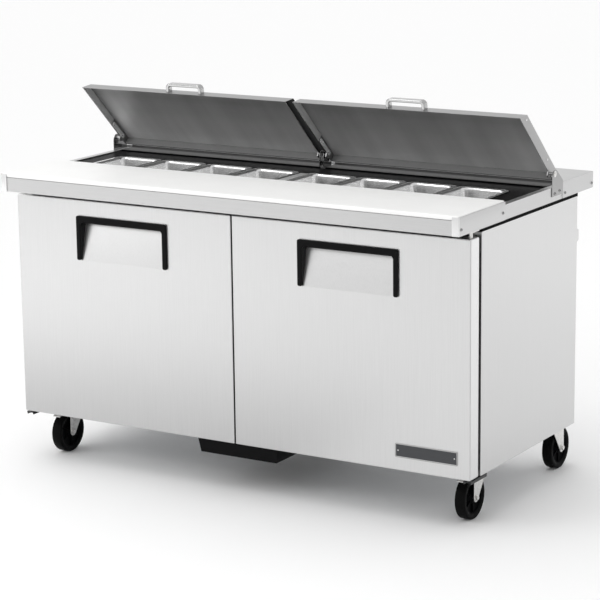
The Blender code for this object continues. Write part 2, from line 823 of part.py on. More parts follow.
def build_doors():
    """Doors with a wedge recess, the pull, the gasket, and the hinge plates that carry them."""
    for side, sign in SIDES.items():
        hinge = axis_empty(f"door_axis_{side}", (sign * HINGE_X, HINGE_Y, 0.0))
        low, high = sorted((sign * DOOR_INNER, sign * DOOR_OUTER))
        door = block(
            f"door_{side}", (low, DOOR_FRONT, DOOR_BOTTOM), (high, DOOR_BACK, DOOR_TOP),
            "brushed_steel",
        )
        soften(door, DOOR_EDGE)
        hang_in_place(door, hinge)
        middle = sign * DOOR_MIDDLE
        opening = PULL_WIDTH / 2 - PULL_LEG + RECESS_MARGIN
        recess_top = PULL_TOP - PULL_BAR + RECESS_MARGIN
        slope = RECESS_DEPTH / (recess_top - PULL_BOTTOM)
        lead = RECESS_DEPTH / 4
        wedge = prism(
            f"recess_{side}",
            [
                (DOOR_FRONT - lead, PULL_BOTTOM - lead / slope),
                (DOOR_FRONT - lead, recess_top),
                (DOOR_FRONT + RECESS_DEPTH, recess_top),
            ],
            "X", middle - opening, middle + opening, "zinc",
        )
        cut(door, wedge)
        for end, start, stop in (
            ("top", DOOR_TOP - HINGE_PIN_REACH - RUN_GAP, DOOR_TOP + DOOR_EDGE),
            ("bottom", DOOR_BOTTOM - DOOR_EDGE, DOOR_BOTTOM + HINGE_PIN_REACH + RUN_GAP),
        ):
            hole = rod(
                f"hinge_hole_{end}_{side}", HINGE_PIN_RADIUS + RUN_GAP, "Z", start, stop,
                (sign * HINGE_X, HINGE_Y), "zinc",
            )
            cut(door, hole)
        hang_in_place(door_pull(side, middle, recess_top), hinge)

        edge_low, edge_high = low + GASKET_INSET, high - GASKET_INSET
        bottom, top = DOOR_BOTTOM + GASKET_INSET, DOOR_TOP - GASKET_INSET
        gasket = ring_frame(
            f"gasket_{side}",
            rectangle(edge_low, bottom, edge_high, top),
            rectangle(
                edge_low + GASKET_WIDTH, bottom + GASKET_WIDTH,
                edge_high - GASKET_WIDTH, top - GASKET_WIDTH,
            ),
            "Y", DOOR_BACK + SEAT_GAP, CABINET_FRONT - SEAT_GAP, "black_rubber",
        )
        hang_in_place(gasket, hinge)
        build_hinges(side, sign)


def door_pull(side, middle, recess_top):
    """The black pull: an upside-down U with a finger lip and cheeks that line the recess."""
    outer = PULL_WIDTH / 2
    inner = outer - PULL_LEG
    under = PULL_TOP - PULL_BAR
    outline = [
        (-outer, PULL_BOTTOM),
        (-outer, PULL_TOP),
        (outer, PULL_TOP),
        (outer, PULL_BOTTOM),
        (inner, PULL_BOTTOM),
        (inner, under),
        (-inner, under),
        (-inner, PULL_BOTTOM),
    ]
    pull = prism(
        f"door_pull_{side}", [(middle + x, z) for x, z in outline], "Y",
        DOOR_FRONT - PULL_PROUD, DOOR_FRONT - SEAT_GAP, "black_plastic",
    )
    lip_top = recess_top - RUN_GAP
    root = DOOR_FRONT - PULL_PROUD / 2
    reach = inner + RECESS_MARGIN / 2
    lip = block(
        f"pull_lip_{side}",
        (middle - reach, root, lip_top - PULL_LIP),
        (middle + reach, DOOR_FRONT + PULL_LIP_DEPTH, lip_top),
        "black_plastic",
    )
    fuse(pull, lip)
    slope = RECESS_DEPTH / (recess_top - PULL_BOTTOM)
    toe = PULL_BOTTOM + RECESS_MARGIN
    head = lip_top - SEAT_GAP
    triangle = [
        (root, toe),
        (DOOR_FRONT + (toe - PULL_BOTTOM) * slope - RUN_GAP, toe),
        (DOOR_FRONT + (head - PULL_BOTTOM) * slope - RUN_GAP, head),
        (root, head),
    ]
    for end, sign in SIDES.items():
        cheek = prism(
            f"pull_cheek_{end}_{side}", triangle, "X", middle + sign * (inner + SEAT_GAP),
            middle + sign * (inner + RECESS_MARGIN - RUN_GAP), "black_plastic",
        )
        fuse(pull, cheek)
    return pull


def build_hinges(side, sign):
    """Hinge plates under the top frame and under the floor, with their pins in the door."""
    place = (sign * HINGE_X, HINGE_Y)
    half = HINGE_PLATE_WIDTH / 2
    top_plate = FRAME_BOTTOM - SEAT_GAP
    floor_plate = CABINET_BOTTOM - SEAT_GAP
    ends = (
        ("top", top_plate - HINGE_PLATE, top_plate, DOOR_BACK,
         DOOR_TOP - HINGE_PIN_REACH, top_plate - HINGE_PLATE / 2),
        ("bottom", floor_plate - HINGE_PLATE, floor_plate, CABINET_FRONT + HINGE_PLATE_BACK,
         floor_plate - HINGE_PLATE / 2, DOOR_BOTTOM + HINGE_PIN_REACH),
    )
    for end, low, high, back, pin_low, pin_high in ends:
        plate = block(
            f"hinge_{end}_{side}",
            (place[0] - half, DOOR_FRONT + DOOR_EDGE, low),
            (place[0] + half, back, high),
            "zinc",
        )
        pin = rod(
            f"hinge_pin_{end}_{side}", HINGE_PIN_RADIUS, "Z", pin_low, pin_high, place, "zinc"
        )
        fuse(plate, pin)


def stem_places():
    """Name, X and Y of each caster stem."""
    places = []
    for side, sign in SIDES.items():
        places.append((f"front_{side}", sign * CASTER_X, CABINET_FRONT + FRONT_STEM_SETBACK))
        places.append((f"rear_{side}", sign * CASTER_X, CABINET_BACK - REAR_STEM_SETBACK))
    return places


def build_casters():
    """Swivel forks, wheels, and brake pedals on the front pair."""
    for corner, x, y in stem_places():
        front = corner.startswith("front")
        trail = -1 if front else 1
        swivel = axis_empty(f"swivel_axis_{corner}", (x, y, 0.0))
        caster_fork(corner, trail, front, swivel)
        wheel_y = trail * CASTER_TRAIL
        axle = axis_empty(f"wheel_axis_{corner}", (x, y + wheel_y, WHEEL_RADIUS))
        hang_on(caster_wheel(corner), axle)
        if front:
            caster_pedal(corner, trail, (x, y + trail * (CASTER_TRAIL + PEDAL_OFFSET)))


def caster_fork(corner, trail, braked, swivel):
    """Two cheeks, a top plate, a bearing race, a stem and an axle as one fork."""
    tail = -RACE_RADIUS + SEAT_GAP
    cheek = 3 * AXLE_RADIUS
    nose = CASTER_TRAIL + cheek
    ear = CASTER_TRAIL + PEDAL_OFFSET + PEDAL_RADIUS if braked else nose
    top = FORK_TOP - SEAT_GAP
    outline = [
        (tail, top),
        (tail, FORK_UNDER - FORK_PLATE),
        (CASTER_TRAIL - cheek, WHEEL_RADIUS - AXLE_RADIUS),
        (CASTER_TRAIL - cheek / 2, WHEEL_RADIUS - cheek),
        (CASTER_TRAIL + cheek / 2, WHEEL_RADIUS - cheek),
        (nose, WHEEL_RADIUS - AXLE_RADIUS),
        (nose, FORK_UNDER - 2 * FORK_PLATE),
        (ear + SEAT_GAP, FORK_UNDER - FORK_PLATE),
        (ear + SEAT_GAP, top),
    ]
    outline = [(trail * y, z) for y, z in outline]
    ends = sorted((trail * -RACE_RADIUS, trail * (CASTER_TRAIL + cheek / 2)))
    wide = FORK_OUTER - SEAT_GAP
    fork = block(
        f"caster_fork_{corner}", (-wide, ends[0], FORK_UNDER), (wide, ends[1], FORK_TOP), "zinc"
    )
    hang_on(fork, swivel)
    parts = []
    for name, start, stop in (("low", -FORK_OUTER, -FORK_INNER), ("high", FORK_INNER, FORK_OUTER)):
        parts.append(prism(f"cheek_{name}_{corner}", outline, "X", start, stop, "zinc"))
    stem = turned(
        f"stem_{corner}",
        [
            (RACE_RADIUS - 2 * SEAT_GAP, FORK_TOP - FORK_PLATE / 2),
            (RACE_RADIUS - 2 * SEAT_GAP, RACE_TOP),
            (STEM_RADIUS, RACE_TOP),
            (STEM_RADIUS, RACE_TOP + STEM_LENGTH),
        ],
        "Z", "zinc", steps=SMALL_ROUND,
    )
    parts.append(stem)
    reach = FORK_OUTER + FORK_SHEET / 2
    parts.append(rod(
        f"axle_{corner}", AXLE_RADIUS, "X", -reach, reach,
        (trail * CASTER_TRAIL, WHEEL_RADIUS), "zinc", steps=SMALL_ROUND,
    ))
    for part in parts:
        hang_on(part, swivel)
        fuse(fork, part)


def caster_wheel(corner):
    """A rubber wheel with a raised hub and a flat tread, turned about X."""
    half = WHEEL_WIDTH / 2
    bore = AXLE_RADIUS + RUN_GAP
    hub = 4 * AXLE_RADIUS
    dish = 0.6 * half
    rim = 0.78 * WHEEL_RADIUS
    shoulder = 0.96 * WHEEL_RADIUS
    side = [
        (bore, 0.9 * half),
        (hub, 0.9 * half),
        (hub + AXLE_RADIUS / 2, dish),
        (rim - AXLE_RADIUS, dish),
        (rim, 0.94 * half),
        (shoulder, half),
        (WHEEL_RADIUS, 0.84 * half),
    ]
    profile = [(radius, -along) for radius, along in side]
    profile += [(radius, along) for radius, along in reversed(side)]
    return turned(f"caster_wheel_{corner}", profile, "X", "black_rubber", ring=True)


def caster_pedal(corner, trail, place):
    """A brake pedal on a cross barrel between the fork's ears."""
    level = (FORK_UNDER + FORK_TOP) / 2 - FORK_PLATE / 2
    axis = axis_empty(f"pedal_axis_{corner}", (*place, level), -trail * PEDAL_ANGLE)
    reach = FORK_INNER - SEAT_GAP
    pedal = rod(
        f"brake_pedal_{corner}", PEDAL_RADIUS, "X", -reach, reach, (0.0, 0.0), "zinc"
    )
    ends = sorted((0.0, trail * PEDAL_LENGTH))
    plate = block(
        f"pedal_plate_{corner}",
        (-PEDAL_WIDTH / 2, ends[0], -PEDAL_THICKNESS / 2),
        (PEDAL_WIDTH / 2, ends[1], PEDAL_THICKNESS / 2),
        "zinc",
    )
    hang_on(pedal, axis)
    hang_on(plate, axis)
    fuse(pedal, plate)


def build_underparts():
    """Condensate tray under the middle of the cabinet, and the rear wall bumpers."""
    half = TRAY_WIDTH / 2
    top = CABINET_BOTTOM - SEAT_GAP
    bottom = top - TRAY_HEIGHT
    front = CABINET_FRONT - TRAY_FRONT_REACH
    back = CABINET_BACK - TRAY_BACK_MARGIN
    loops = []
    for shrink, level in (
        (TRAY_SLOPE, bottom),
        (0.0, top),
        (TRAY_WALL, top),
        (TRAY_SLOPE + TRAY_WALL, bottom + TRAY_WALL),
    ):
        outline = rectangle(-half + shrink, front + shrink, half - shrink, back - shrink)
        loops.append([place_on_axis("Z", level, *point) for point in outline])
    loft("condensate_tray", loops, "black_plastic")

    top = CABINET_TOP - BUMPER_TOP_DROP
    wall = CABINET_BACK + SEAT_GAP
    face = wall + BUMPER_DEPTH
    outline = [
        (wall, top - BUMPER_HEIGHT),
        (face, top - BUMPER_HEIGHT + BUMPER_DEPTH / 2),
        (face, top - BUMPER_DEPTH / 2),
        (wall, top),
    ]
    for side, sign in SIDES.items():
        ends = (sign * (CABINET_HALF - BUMPER_WIDTH), sign * (CABINET_HALF - PANEL_EDGE))
        prism(f"rear_bumper_{side}", outline, "X", *ends, "brushed_steel")


def fan_outline(radius, hub, blades):
    """A flat fan: broad blades round a hub."""
    points = []
    pitch = 2 * math.pi / blades
    for blade in range(blades):
        start = blade * pitch
        for share, reach in ((0.08, hub), (0.02, radius), (0.30, radius), (0.58, radius), (0.70, hub)):
            angle = start + share * pitch
            points.append((reach * math.cos(angle), reach * math.sin(angle)))
    return points


def build_machine():
    """Compressor, condenser with its fan, and the slotted rear grille over the machine bay."""
    base = BAY_FLOOR
    radius, height = COMPRESSOR_RADIUS, COMPRESSOR_HEIGHT
    turned(
        "compressor",
        [
            (radius, base),
            (radius, base + 0.02 * height),
            (0.80 * radius, base + 0.08 * height),
            (0.86 * radius, base + 0.15 * height),
            (0.86 * radius, base + 0.72 * height),
            (0.72 * radius, base + 0.90 * height),
            (0.35 * radius, base + height),
        ],
        "Z", "black_enamel", middle=(-COMPRESSOR_OFFSET, BAY_MIDDLE),
    )

    coil_end = BAY_HALF - COIL_END_GAP
    coil_start = coil_end - COIL_THICKNESS
    half = COIL_SPAN / 2
    middle_z = base + half
    coil = block(
        "condenser_coil",
        (coil_start, BAY_MIDDLE - half, base),
        (coil_end, BAY_MIDDLE + half, base + COIL_SPAN),
        "copper_fins",
    )
    fan_back = coil_start - FAN_THICKNESS / 2
    fan_front = fan_back - FAN_THICKNESS
    motor_face = fan_front - SEAT_GAP
    motor_back = motor_face - MOTOR_LENGTH
    arms = []
    for end, sign in (("front", -1), ("rear", 1)):
        edges = sorted((BAY_MIDDLE + sign * (half - STRAP / 2), BAY_MIDDLE + sign * (half - STRAP * 1.5)))
        arms.append(block(
            f"condenser_arm_{end}",
            (motor_back - STRAP, edges[0], middle_z - STRAP),
            (coil_start + STRAP, edges[1], middle_z + STRAP),
            "zinc",
        ))
    arms.append(block(
        "condenser_bridge",
        (motor_back - STRAP / 2, BAY_MIDDLE - half + STRAP, middle_z - STRAP * 0.9),
        (motor_back + STRAP / 2, BAY_MIDDLE + half - STRAP, middle_z + STRAP * 0.9),
        "zinc",
    ))
    arms.append(rod(
        "condenser_motor", MOTOR_RADIUS, "X", motor_back, motor_face, (BAY_MIDDLE, middle_z), "zinc"
    ))
    for arm in arms:
        fuse(coil, arm)
    fan = prism(
        "condenser_fan", fan_outline(FAN_RADIUS, FAN_HUB, FAN_BLADES), "X",
        -FAN_THICKNESS / 2, FAN_THICKNESS / 2, "black_plastic",
    )
    fan.location = ((fan_front + fan_back) / 2, BAY_MIDDLE, middle_z)

    edge = BAY_HALF + GRILLE_MARGIN
    low, high = base, BAY_TOP + GRILLE_MARGIN
    grille = block(
        "rear_grille",
        (-edge, CABINET_BACK + SEAT_GAP, low),
        (edge, CABINET_BACK + SEAT_GAP + GRILLE_THICKNESS, high),
        "black_enamel",
    )
    count = int((high - low - 2 * GRILLE_MARGIN) / GRILLE_PITCH)
    slots = []
    for index in range(count):
        start = low + GRILLE_MARGIN + index * GRILLE_PITCH
        slots.append(rectangle(-BAY_HALF, start, BAY_HALF, start + GRILLE_SLOT))
    through = (CABINET_BACK - GRILLE_THICKNESS, CABINET_BACK + 3 * GRILLE_THICKNESS)
    cut(grille, slot_cutter("grille_slots", slots, "Y", through))


def build_evaporator():
    """Evaporator cover inside the top of the cabinet, with its fan in a round opening."""
    half = COVER_WIDTH / 2
    back = INNER_BACK - SEAT_GAP
    front = back - COVER_DEPTH
    top = CABINET_TOP - COVER_TOP_DROP
    bottom = top - COVER_HEIGHT
    middle_z = (top + bottom) / 2
    loops = []
    for shrink, along in (
        (0.0, front),
        (0.0, back),
        (COVER_WALL, back),
        (COVER_WALL, front + COVER_WALL),
    ):
        outline = rectangle(-half + shrink, bottom + shrink, half - shrink, top - shrink)
        loops.append([place_on_axis("Y", along, *point) for point in outline])
    cover = loft("evaporator_cover", loops, "white_liner")
    mouth = rod(
        "fan_mouth", FAN_RADIUS + 2 * STRAP, "Y", front - COVER_WALL, front + 3 * COVER_WALL,
        (0.0, middle_z), "zinc", steps=ROUND,
    )
    cut(cover, mouth)
    fan_front = front + 2 * COVER_WALL
    fan_back = fan_front + FAN_THICKNESS
    motor_face = fan_back + SEAT_GAP
    motor_back = motor_face + MOTOR_LENGTH
    strap = block(
        "evaporator_strap",
        (-STRAP, motor_back - STRAP / 2, bottom + COVER_WALL / 2),
        (STRAP, motor_back + STRAP / 2, top - COVER_WALL / 2),
        "zinc",
    )
    fuse(cover, strap)
    motor = rod(
        "evaporator_motor", MOTOR_RADIUS, "Y", motor_face, motor_back, (0.0, middle_z), "zinc"
    )
    fuse(cover, motor)
    fan = prism(
        "evaporator_fan", fan_outline(FAN_RADIUS, FAN_HUB, FAN_BLADES), "Y",
        -FAN_THICKNESS / 2, FAN_THICKNESS / 2, "black_plastic",
    )
    fan.location = (0.0, (fan_front + fan_back) / 2, middle_z)


def main():
    """Builds the whole table."""
    clear_scene()
    build_walls()
    build_shelves()
    build_top()
    build_pans()
    build_lid_brackets()
    build_lids()
    build_doors()
    build_casters()
    build_underparts()
    build_machine()
    build_evaporator()


main()
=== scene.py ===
"""Dresses the packed sandwich prep table: finishes, fine fittings, studio and camera.

Metres, +Z up, the front towards -Y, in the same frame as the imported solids.
"""

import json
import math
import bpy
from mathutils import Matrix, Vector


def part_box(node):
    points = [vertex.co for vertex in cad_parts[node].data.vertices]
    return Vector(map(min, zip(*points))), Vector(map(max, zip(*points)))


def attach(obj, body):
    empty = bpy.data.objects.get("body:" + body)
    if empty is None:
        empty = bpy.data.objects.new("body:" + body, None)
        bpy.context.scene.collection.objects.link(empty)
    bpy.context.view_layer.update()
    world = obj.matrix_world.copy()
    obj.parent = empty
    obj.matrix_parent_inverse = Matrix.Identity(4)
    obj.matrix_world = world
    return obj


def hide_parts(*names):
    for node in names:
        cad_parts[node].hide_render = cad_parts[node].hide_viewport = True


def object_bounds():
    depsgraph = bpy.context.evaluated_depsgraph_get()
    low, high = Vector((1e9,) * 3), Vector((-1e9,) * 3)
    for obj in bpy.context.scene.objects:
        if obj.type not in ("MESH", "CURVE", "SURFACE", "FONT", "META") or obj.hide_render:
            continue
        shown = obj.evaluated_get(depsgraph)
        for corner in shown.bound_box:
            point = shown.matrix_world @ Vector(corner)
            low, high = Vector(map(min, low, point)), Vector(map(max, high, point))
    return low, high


bl_info = {
    "name": "Sandwich Prep Table",
    "version": (1, 0, 0),
    "blender": (4, 5, 0),
    "location": "View3D > Sidebar > Prep Table",
    "description": "Finishes, fittings and studio for a two-door refrigerated prep table",
    "category": "Object",
}

from typing import NamedTuple

import bmesh
import bpy
from bpy.props import FloatProperty, FloatVectorProperty, IntProperty, PointerProperty
from mathutils import Matrix, Vector

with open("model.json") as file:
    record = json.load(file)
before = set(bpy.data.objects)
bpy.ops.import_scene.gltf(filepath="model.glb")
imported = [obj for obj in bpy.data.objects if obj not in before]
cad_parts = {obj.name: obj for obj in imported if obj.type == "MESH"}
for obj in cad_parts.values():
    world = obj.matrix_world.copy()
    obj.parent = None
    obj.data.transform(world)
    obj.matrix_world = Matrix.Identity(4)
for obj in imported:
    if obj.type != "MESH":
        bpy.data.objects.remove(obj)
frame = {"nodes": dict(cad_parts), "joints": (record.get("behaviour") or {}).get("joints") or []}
CAD_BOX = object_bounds()
# Where each joint that has a place sits at rest
JOINTS = {joint["name"]: Vector(joint["pos_m"]) for joint in frame["joints"] if "pos_m" in joint}

SIDES = {"left": -1, "right": 1}
CORNERS = ("front_left", "rear_left", "front_right", "rear_right")
UP = Vector((0.0, 0.0, 1.0))
# Gap between a fitting and the solid that carries it
SEAT = 0.0003
# Rounding of the edges of pressed sheet, and of thin sheet and small mouldings
SHEET_EDGE = 0.0006
FINE_EDGE = 0.0004
# Thickness of the channel that carries the lids' inner ends
CHANNEL_SHEET = 0.0022
# The lids turn about PIVOT, and LID_PLACE takes a lid from its own frame, with the pivot at its origin, to
# where it stands open
PIVOT = JOINTS["lid_right_hinge"]
LID_ANGLE = math.radians(43.4)
LID_PLACE = Matrix.Translation((0.0, PIVOT.y, PIVOT.z)) @ Matrix.Rotation(-LID_ANGLE, 4, "X")


# Settings


def linear(code):
    """Linear red, green and blue from an sRGB hex value."""
    shares = [int(code[start:start + 2], 16) / 255 for start in (1, 3, 5)]
    return [s / 12.92 if s <= 0.04045 else ((s + 0.055) / 1.055) ** 2.4 for s in shares]


def colour_setting(name, code, description):
    """A colour property whose default is an sRGB hex value."""
    return FloatVectorProperty(
        name=name, description=description, default=linear(code), subtype="COLOR", min=0.0, max=1.0
    )


def length_setting(name, default, description):
    """A length property in metres."""
    return FloatProperty(
        name=name, description=description, default=default, min=0.0, unit="LENGTH", precision=4
    )


def count_setting(name, default, description):
    """A property that counts pieces."""
    return IntProperty(name=name, description=description, default=default, min=2)


def number_setting(name, default, description, **kind):
    """A plain number property, with its least value, unit or subtype where it has one."""
    return FloatProperty(name=name, description=description, default=default, **kind)


class PrepTableFinishes(bpy.types.PropertyGroup):
    """Colours of the table's finishes."""

    steel: colour_setting("Brushed steel", "#d4d4d4", "Doors and sides")
    top_steel: colour_setting("Top steel", "#c8c8c8", "Fascia, rails and rear deck")
    lid_steel: colour_setting("Lid steel", "#ababab", "Outside of the lids")
    # Polished steel is set darker than bright steel: painted shade and painted dark reflections on the
    # pivot plates and screws
    chrome: colour_setting("Polished steel", "#9c9c9c", "Pivot plates and screws")
    handle: colour_setting("Chromed steel", "#bdbdbd", "Lid handles")
    # Edge steel is the brushed steel painted lighter: a painted highlight on the board's corner flanges and
    # the doors' hinge edges
    edge_steel: colour_setting("Edge steel", "#e4e4e4", "Board corners and door edges")
    bright: colour_setting("Bright steel", "#e6e6e6", "Food pans and rivets")
    # Dull steel is set lighter than the lids' lining: painted light on the inner faces of the lids' side
    # flanges
    satin: colour_setting("Dull steel", "#cccccc", "Inner faces of the lids' side flanges")
    # Dark dull steel is the dull steel painted darker: painted shade on the lids' rear flanges
    tail: colour_setting("Dark dull steel", "#929292", "Rear flanges of the lids")
    rail: colour_setting("Shaded steel", "#666666", "Rail behind the pans and the lids' rear lips")
    arm: colour_setting("Hinge arms", "#f0f0f0", "Hinge arms inside the lids")
    lid_liner: colour_setting("Lid liner", "#989898", "Underside of the lids")
    board: colour_setting("Cutting board", "#fbfbfa", "Polyethylene board")
    plastic: colour_setting("Moulded plastic", "#0a0a0b", "Door pulls, collar and tray")
    rubber: colour_setting("Tyre rubber", "#070707", "Wheels and door gaskets")
    zinc: colour_setting("Zinc plating", "#dedddb", "Caster forks and hinges")
    inside: colour_setting("Cabinet lining", "#c9cbcd", "Lining sheet inside and at the back")
    wire: colour_setting("Coated wire", "#d8d9d8", "Shelf wires")
    fins: colour_setting("Condenser fins", "#b9b6b0", "Aluminium fins")
    copper: colour_setting("Copper tube", "#b87353", "Refrigerant tubes")
    enamel: colour_setting("Black enamel", "#141415", "Compressor, rear grille and lower hinges")
    plate: colour_setting("Name plate", "#4c4d4f", "Bare plate on the right door")


class PrepTableSizes(bpy.types.PropertyGroup):
    """Sizes of the fine fittings."""

    pull_leg: length_setting("Pull leg", 0.015, "Width of a door pull's legs")
    pull_bar: length_setting("Pull bar", 0.019, "Height of a door pull's top bar")
    pull_edge: length_setting("Pull edge", 0.0022, "Rounding of a door pull's edges")
    recess_depth: length_setting("Recess depth", 0.026, "Depth of the finger recess at its top")
    handle_width: length_setting("Lid handle width", 0.126, "Outside width of a lid handle")
    handle_height: length_setting("Lid handle height", 0.028, "Height of a lid handle")
    handle_strap: length_setting("Lid handle strap", 0.022, "Width of the bent strap")
    handle_bar: length_setting("Lid handle thickness", 0.010, "Thickness of the bent strap")
    pan_corner: length_setting("Pan corner", 0.022, "Corner radius of the food pans")
    screw_head: length_setting("Screw head", 0.0046, "Radius of the screw heads")
    rivet_head: length_setting("Rivet head", 0.0034, "Radius of the rivet heads")
    wire_radius: length_setting("Shelf wire radius", 0.0022, "Radius of the shelf wires")
    shelf_wires: count_setting("Shelf wires", 29, "Wires across one shelf")
    slats: count_setting("Grille slats", 12, "Slats in the rear grille")
    fin_count: count_setting("Condenser fins", 46, "Fins in the condenser")
    fan_blades: count_setting("Fan blades", 5, "Blades of a fan")


class PrepTableStudio(bpy.types.PropertyGroup):
    """Camera and light."""

    camera_place: FloatVectorProperty(
        name="Camera place", description="Where the camera stands",
        default=(3.5273, -5.7719, 2.0365), subtype="TRANSLATION", unit="LENGTH",
    )
    yaw: number_setting("Yaw", 0.54728, "Turn of the camera round the upright", subtype="ANGLE")
    pitch: number_setting("Pitch", 0.22231, "Downward tilt of the camera", subtype="ANGLE")
    roll: number_setting("Roll", -0.01244, "Turn of the camera round its own axis", subtype="ANGLE")
    lens: number_setting("Lens", 138.73, "Focal length in millimetres", min=1.0)
    sky: number_setting("Sky", 0.75, "Strength of the room light", min=0.0)
    key: number_setting("Key light", 0.9, "Strength of the broad soft light from the front left", min=0.0)
    rear: number_setting("Rear light", 0.05, "Strength of the low soft light from behind", min=0.0)
    pool: number_setting(
        "Front light", 22.0, "Power of the soft box over the floor at the front left", min=0.0, unit="POWER"
    )
    pool_right: number_setting(
        "Side light", 10.0, "Power of the soft box over the floor at the rear right", min=0.0, unit="POWER"
    )
    pull: number_setting(
        "Pull light", 12.0, "Power of the soft box that shows in the right pull's recess", min=0.0,
        unit="POWER",
    )


# Materials


class Pattern(NamedTuple):
    """A pattern over a surface: its feature size in metres, its detail and its stretch along each axis.

    It is noise, or the cells of a spangle, and may have other patterns laid over it in equal parts.
    """

    size: float
    detail: float = 2.0
    stretch: tuple = (1.0, 1.0, 1.0)
    cells: bool = False
    over: tuple = ()


# Most of a noise lies between these values, which a finish spreads over its own range
SPREAD = (0.3, 0.7)


def add_node(tree, kind, inputs=None, **settings):
    """Adds a node, sets its properties, and sets or links its inputs."""
    made = tree.nodes.new(kind)
    for name, value in settings.items():
        setattr(made, name, value)
    for key, value in (inputs or {}).items():
        if isinstance(value, bpy.types.NodeSocket):
            tree.links.new(value, made.inputs[key])
        else:
            made.inputs[key].default_value = value
    return made


def surface(name, colour, gloss=None, tint=None, relief=None, **constants):
    """A finish on one shader, whose gloss, tint and relief may each follow a pattern.

    gloss gives a pattern with the lowest and highest roughness, tint one with the darkest and lightest
    share of the colour, and relief one with its depth in metres. What is the same all over is a constant.
    """
    made = bpy.data.materials.new(name)
    made.use_nodes = True
    tree = made.node_tree
    shader = tree.nodes["Principled BSDF"]
    shader.inputs["Base Color"].default_value = (*colour, 1.0)
    sockets = {
        "roughness": "Roughness", "metallic": "Metallic", "ior": "IOR", "specular": "Specular IOR Level",
    }
    for label, value in constants.items():
        shader.inputs[sockets[label]].default_value = value
    # One source for each pattern, which may drive several things
    sources = {}
    for pattern in dict.fromkeys(job[0] for job in (gloss, tint, relief) if job):
        layers = []
        for layer in (pattern, *pattern.over):
            place = add_node(tree, "ShaderNodeTexCoord")
            mapped = add_node(tree, "ShaderNodeMapping", {
                "Vector": place.outputs["Object"],
                "Scale": [1 / (layer.size * axis) for axis in layer.stretch],
            })
            kind, output = "ShaderNodeTexNoise", "Fac"
            if layer.cells:
                kind, output = "ShaderNodeTexVoronoi", "Color"
            texture = add_node(tree, kind, {
                "Vector": mapped.outputs["Vector"], "Scale": 1.0, "Detail": layer.detail,
            })
            layers.append(texture.outputs[output])
        total = layers[0]
        for layer in layers[1:]:
            total = add_node(tree, "ShaderNodeMath", {0: total, 1: layer}, operation="ADD").outputs["Value"]
        if pattern.over:
            mean = add_node(tree, "ShaderNodeMath", {0: total, 1: len(layers)}, operation="DIVIDE")
            total = mean.outputs["Value"]
        sources[pattern] = total
    if gloss:
        pattern, low, high = gloss
        ranged = add_node(tree, "ShaderNodeMapRange", {
            "Value": sources[pattern], "From Min": SPREAD[0], "From Max": SPREAD[1],
            "To Min": low, "To Max": high,
        })
        tree.links.new(ranged.outputs["Result"], shader.inputs["Roughness"])
    if tint:
        pattern, *shares = tint
        ramp = add_node(tree, "ShaderNodeValToRGB", {"Fac": sources[pattern]})
        for stop, position, share in zip(ramp.color_ramp.elements, SPREAD, shares):
            stop.position = position
            stop.color = (*(min(1.0, channel * share) for channel in colour), 1.0)
        tree.links.new(ramp.outputs["Color"], shader.inputs["Base Color"])
    if relief:
        pattern, depth = relief
        bump = add_node(tree, "ShaderNodeBump", {
            "Height": sources[pattern], "Strength": 1.0, "Distance": depth,
        })
        tree.links.new(bump.outputs["Normal"], shader.inputs["Normal"])
    return made


def brushed_steel(name, colour, along):
    """Stainless sheet with a brushed finish, along X (0), Y (1) or Z (2).

    Real brush lines are about 0.2 mm wide, too fine to show, so they are drawn 1.4 mm wide.
    They spread the reflections a little across the grain and leave the sheet evenly grey.
    """
    stretch = [1.0, 1.0, 1.0]
    stretch[along] = 90.0
    lines = Pattern(0.0014, stretch=tuple(stretch))
    return surface(
        name, colour, (lines, 0.28, 0.39), (lines, 0.965, 1.02), (lines, 0.00001), metallic=1.0
    )


def bright_steel(name, colour, roughness):
    """Polished stainless or chrome: mirror-like, softened by faint 25 mm waves and smears."""
    smears = Pattern(0.025, 3.0)
    return surface(
        name, colour, (smears, roughness - 0.04, roughness + 0.06), relief=(smears, 0.00004), metallic=1.0
    )


def satin_steel(name, colour):
    """Stainless or zinc with a dull rolled finish, where the lids turn in: even and soft, 3 mm grain."""
    grain = Pattern(0.003, stretch=(1.0, 8.0, 8.0))
    return surface(name, colour, (grain, 0.42, 0.56), (grain, 0.93, 1.05), metallic=0.3, ior=1.5)


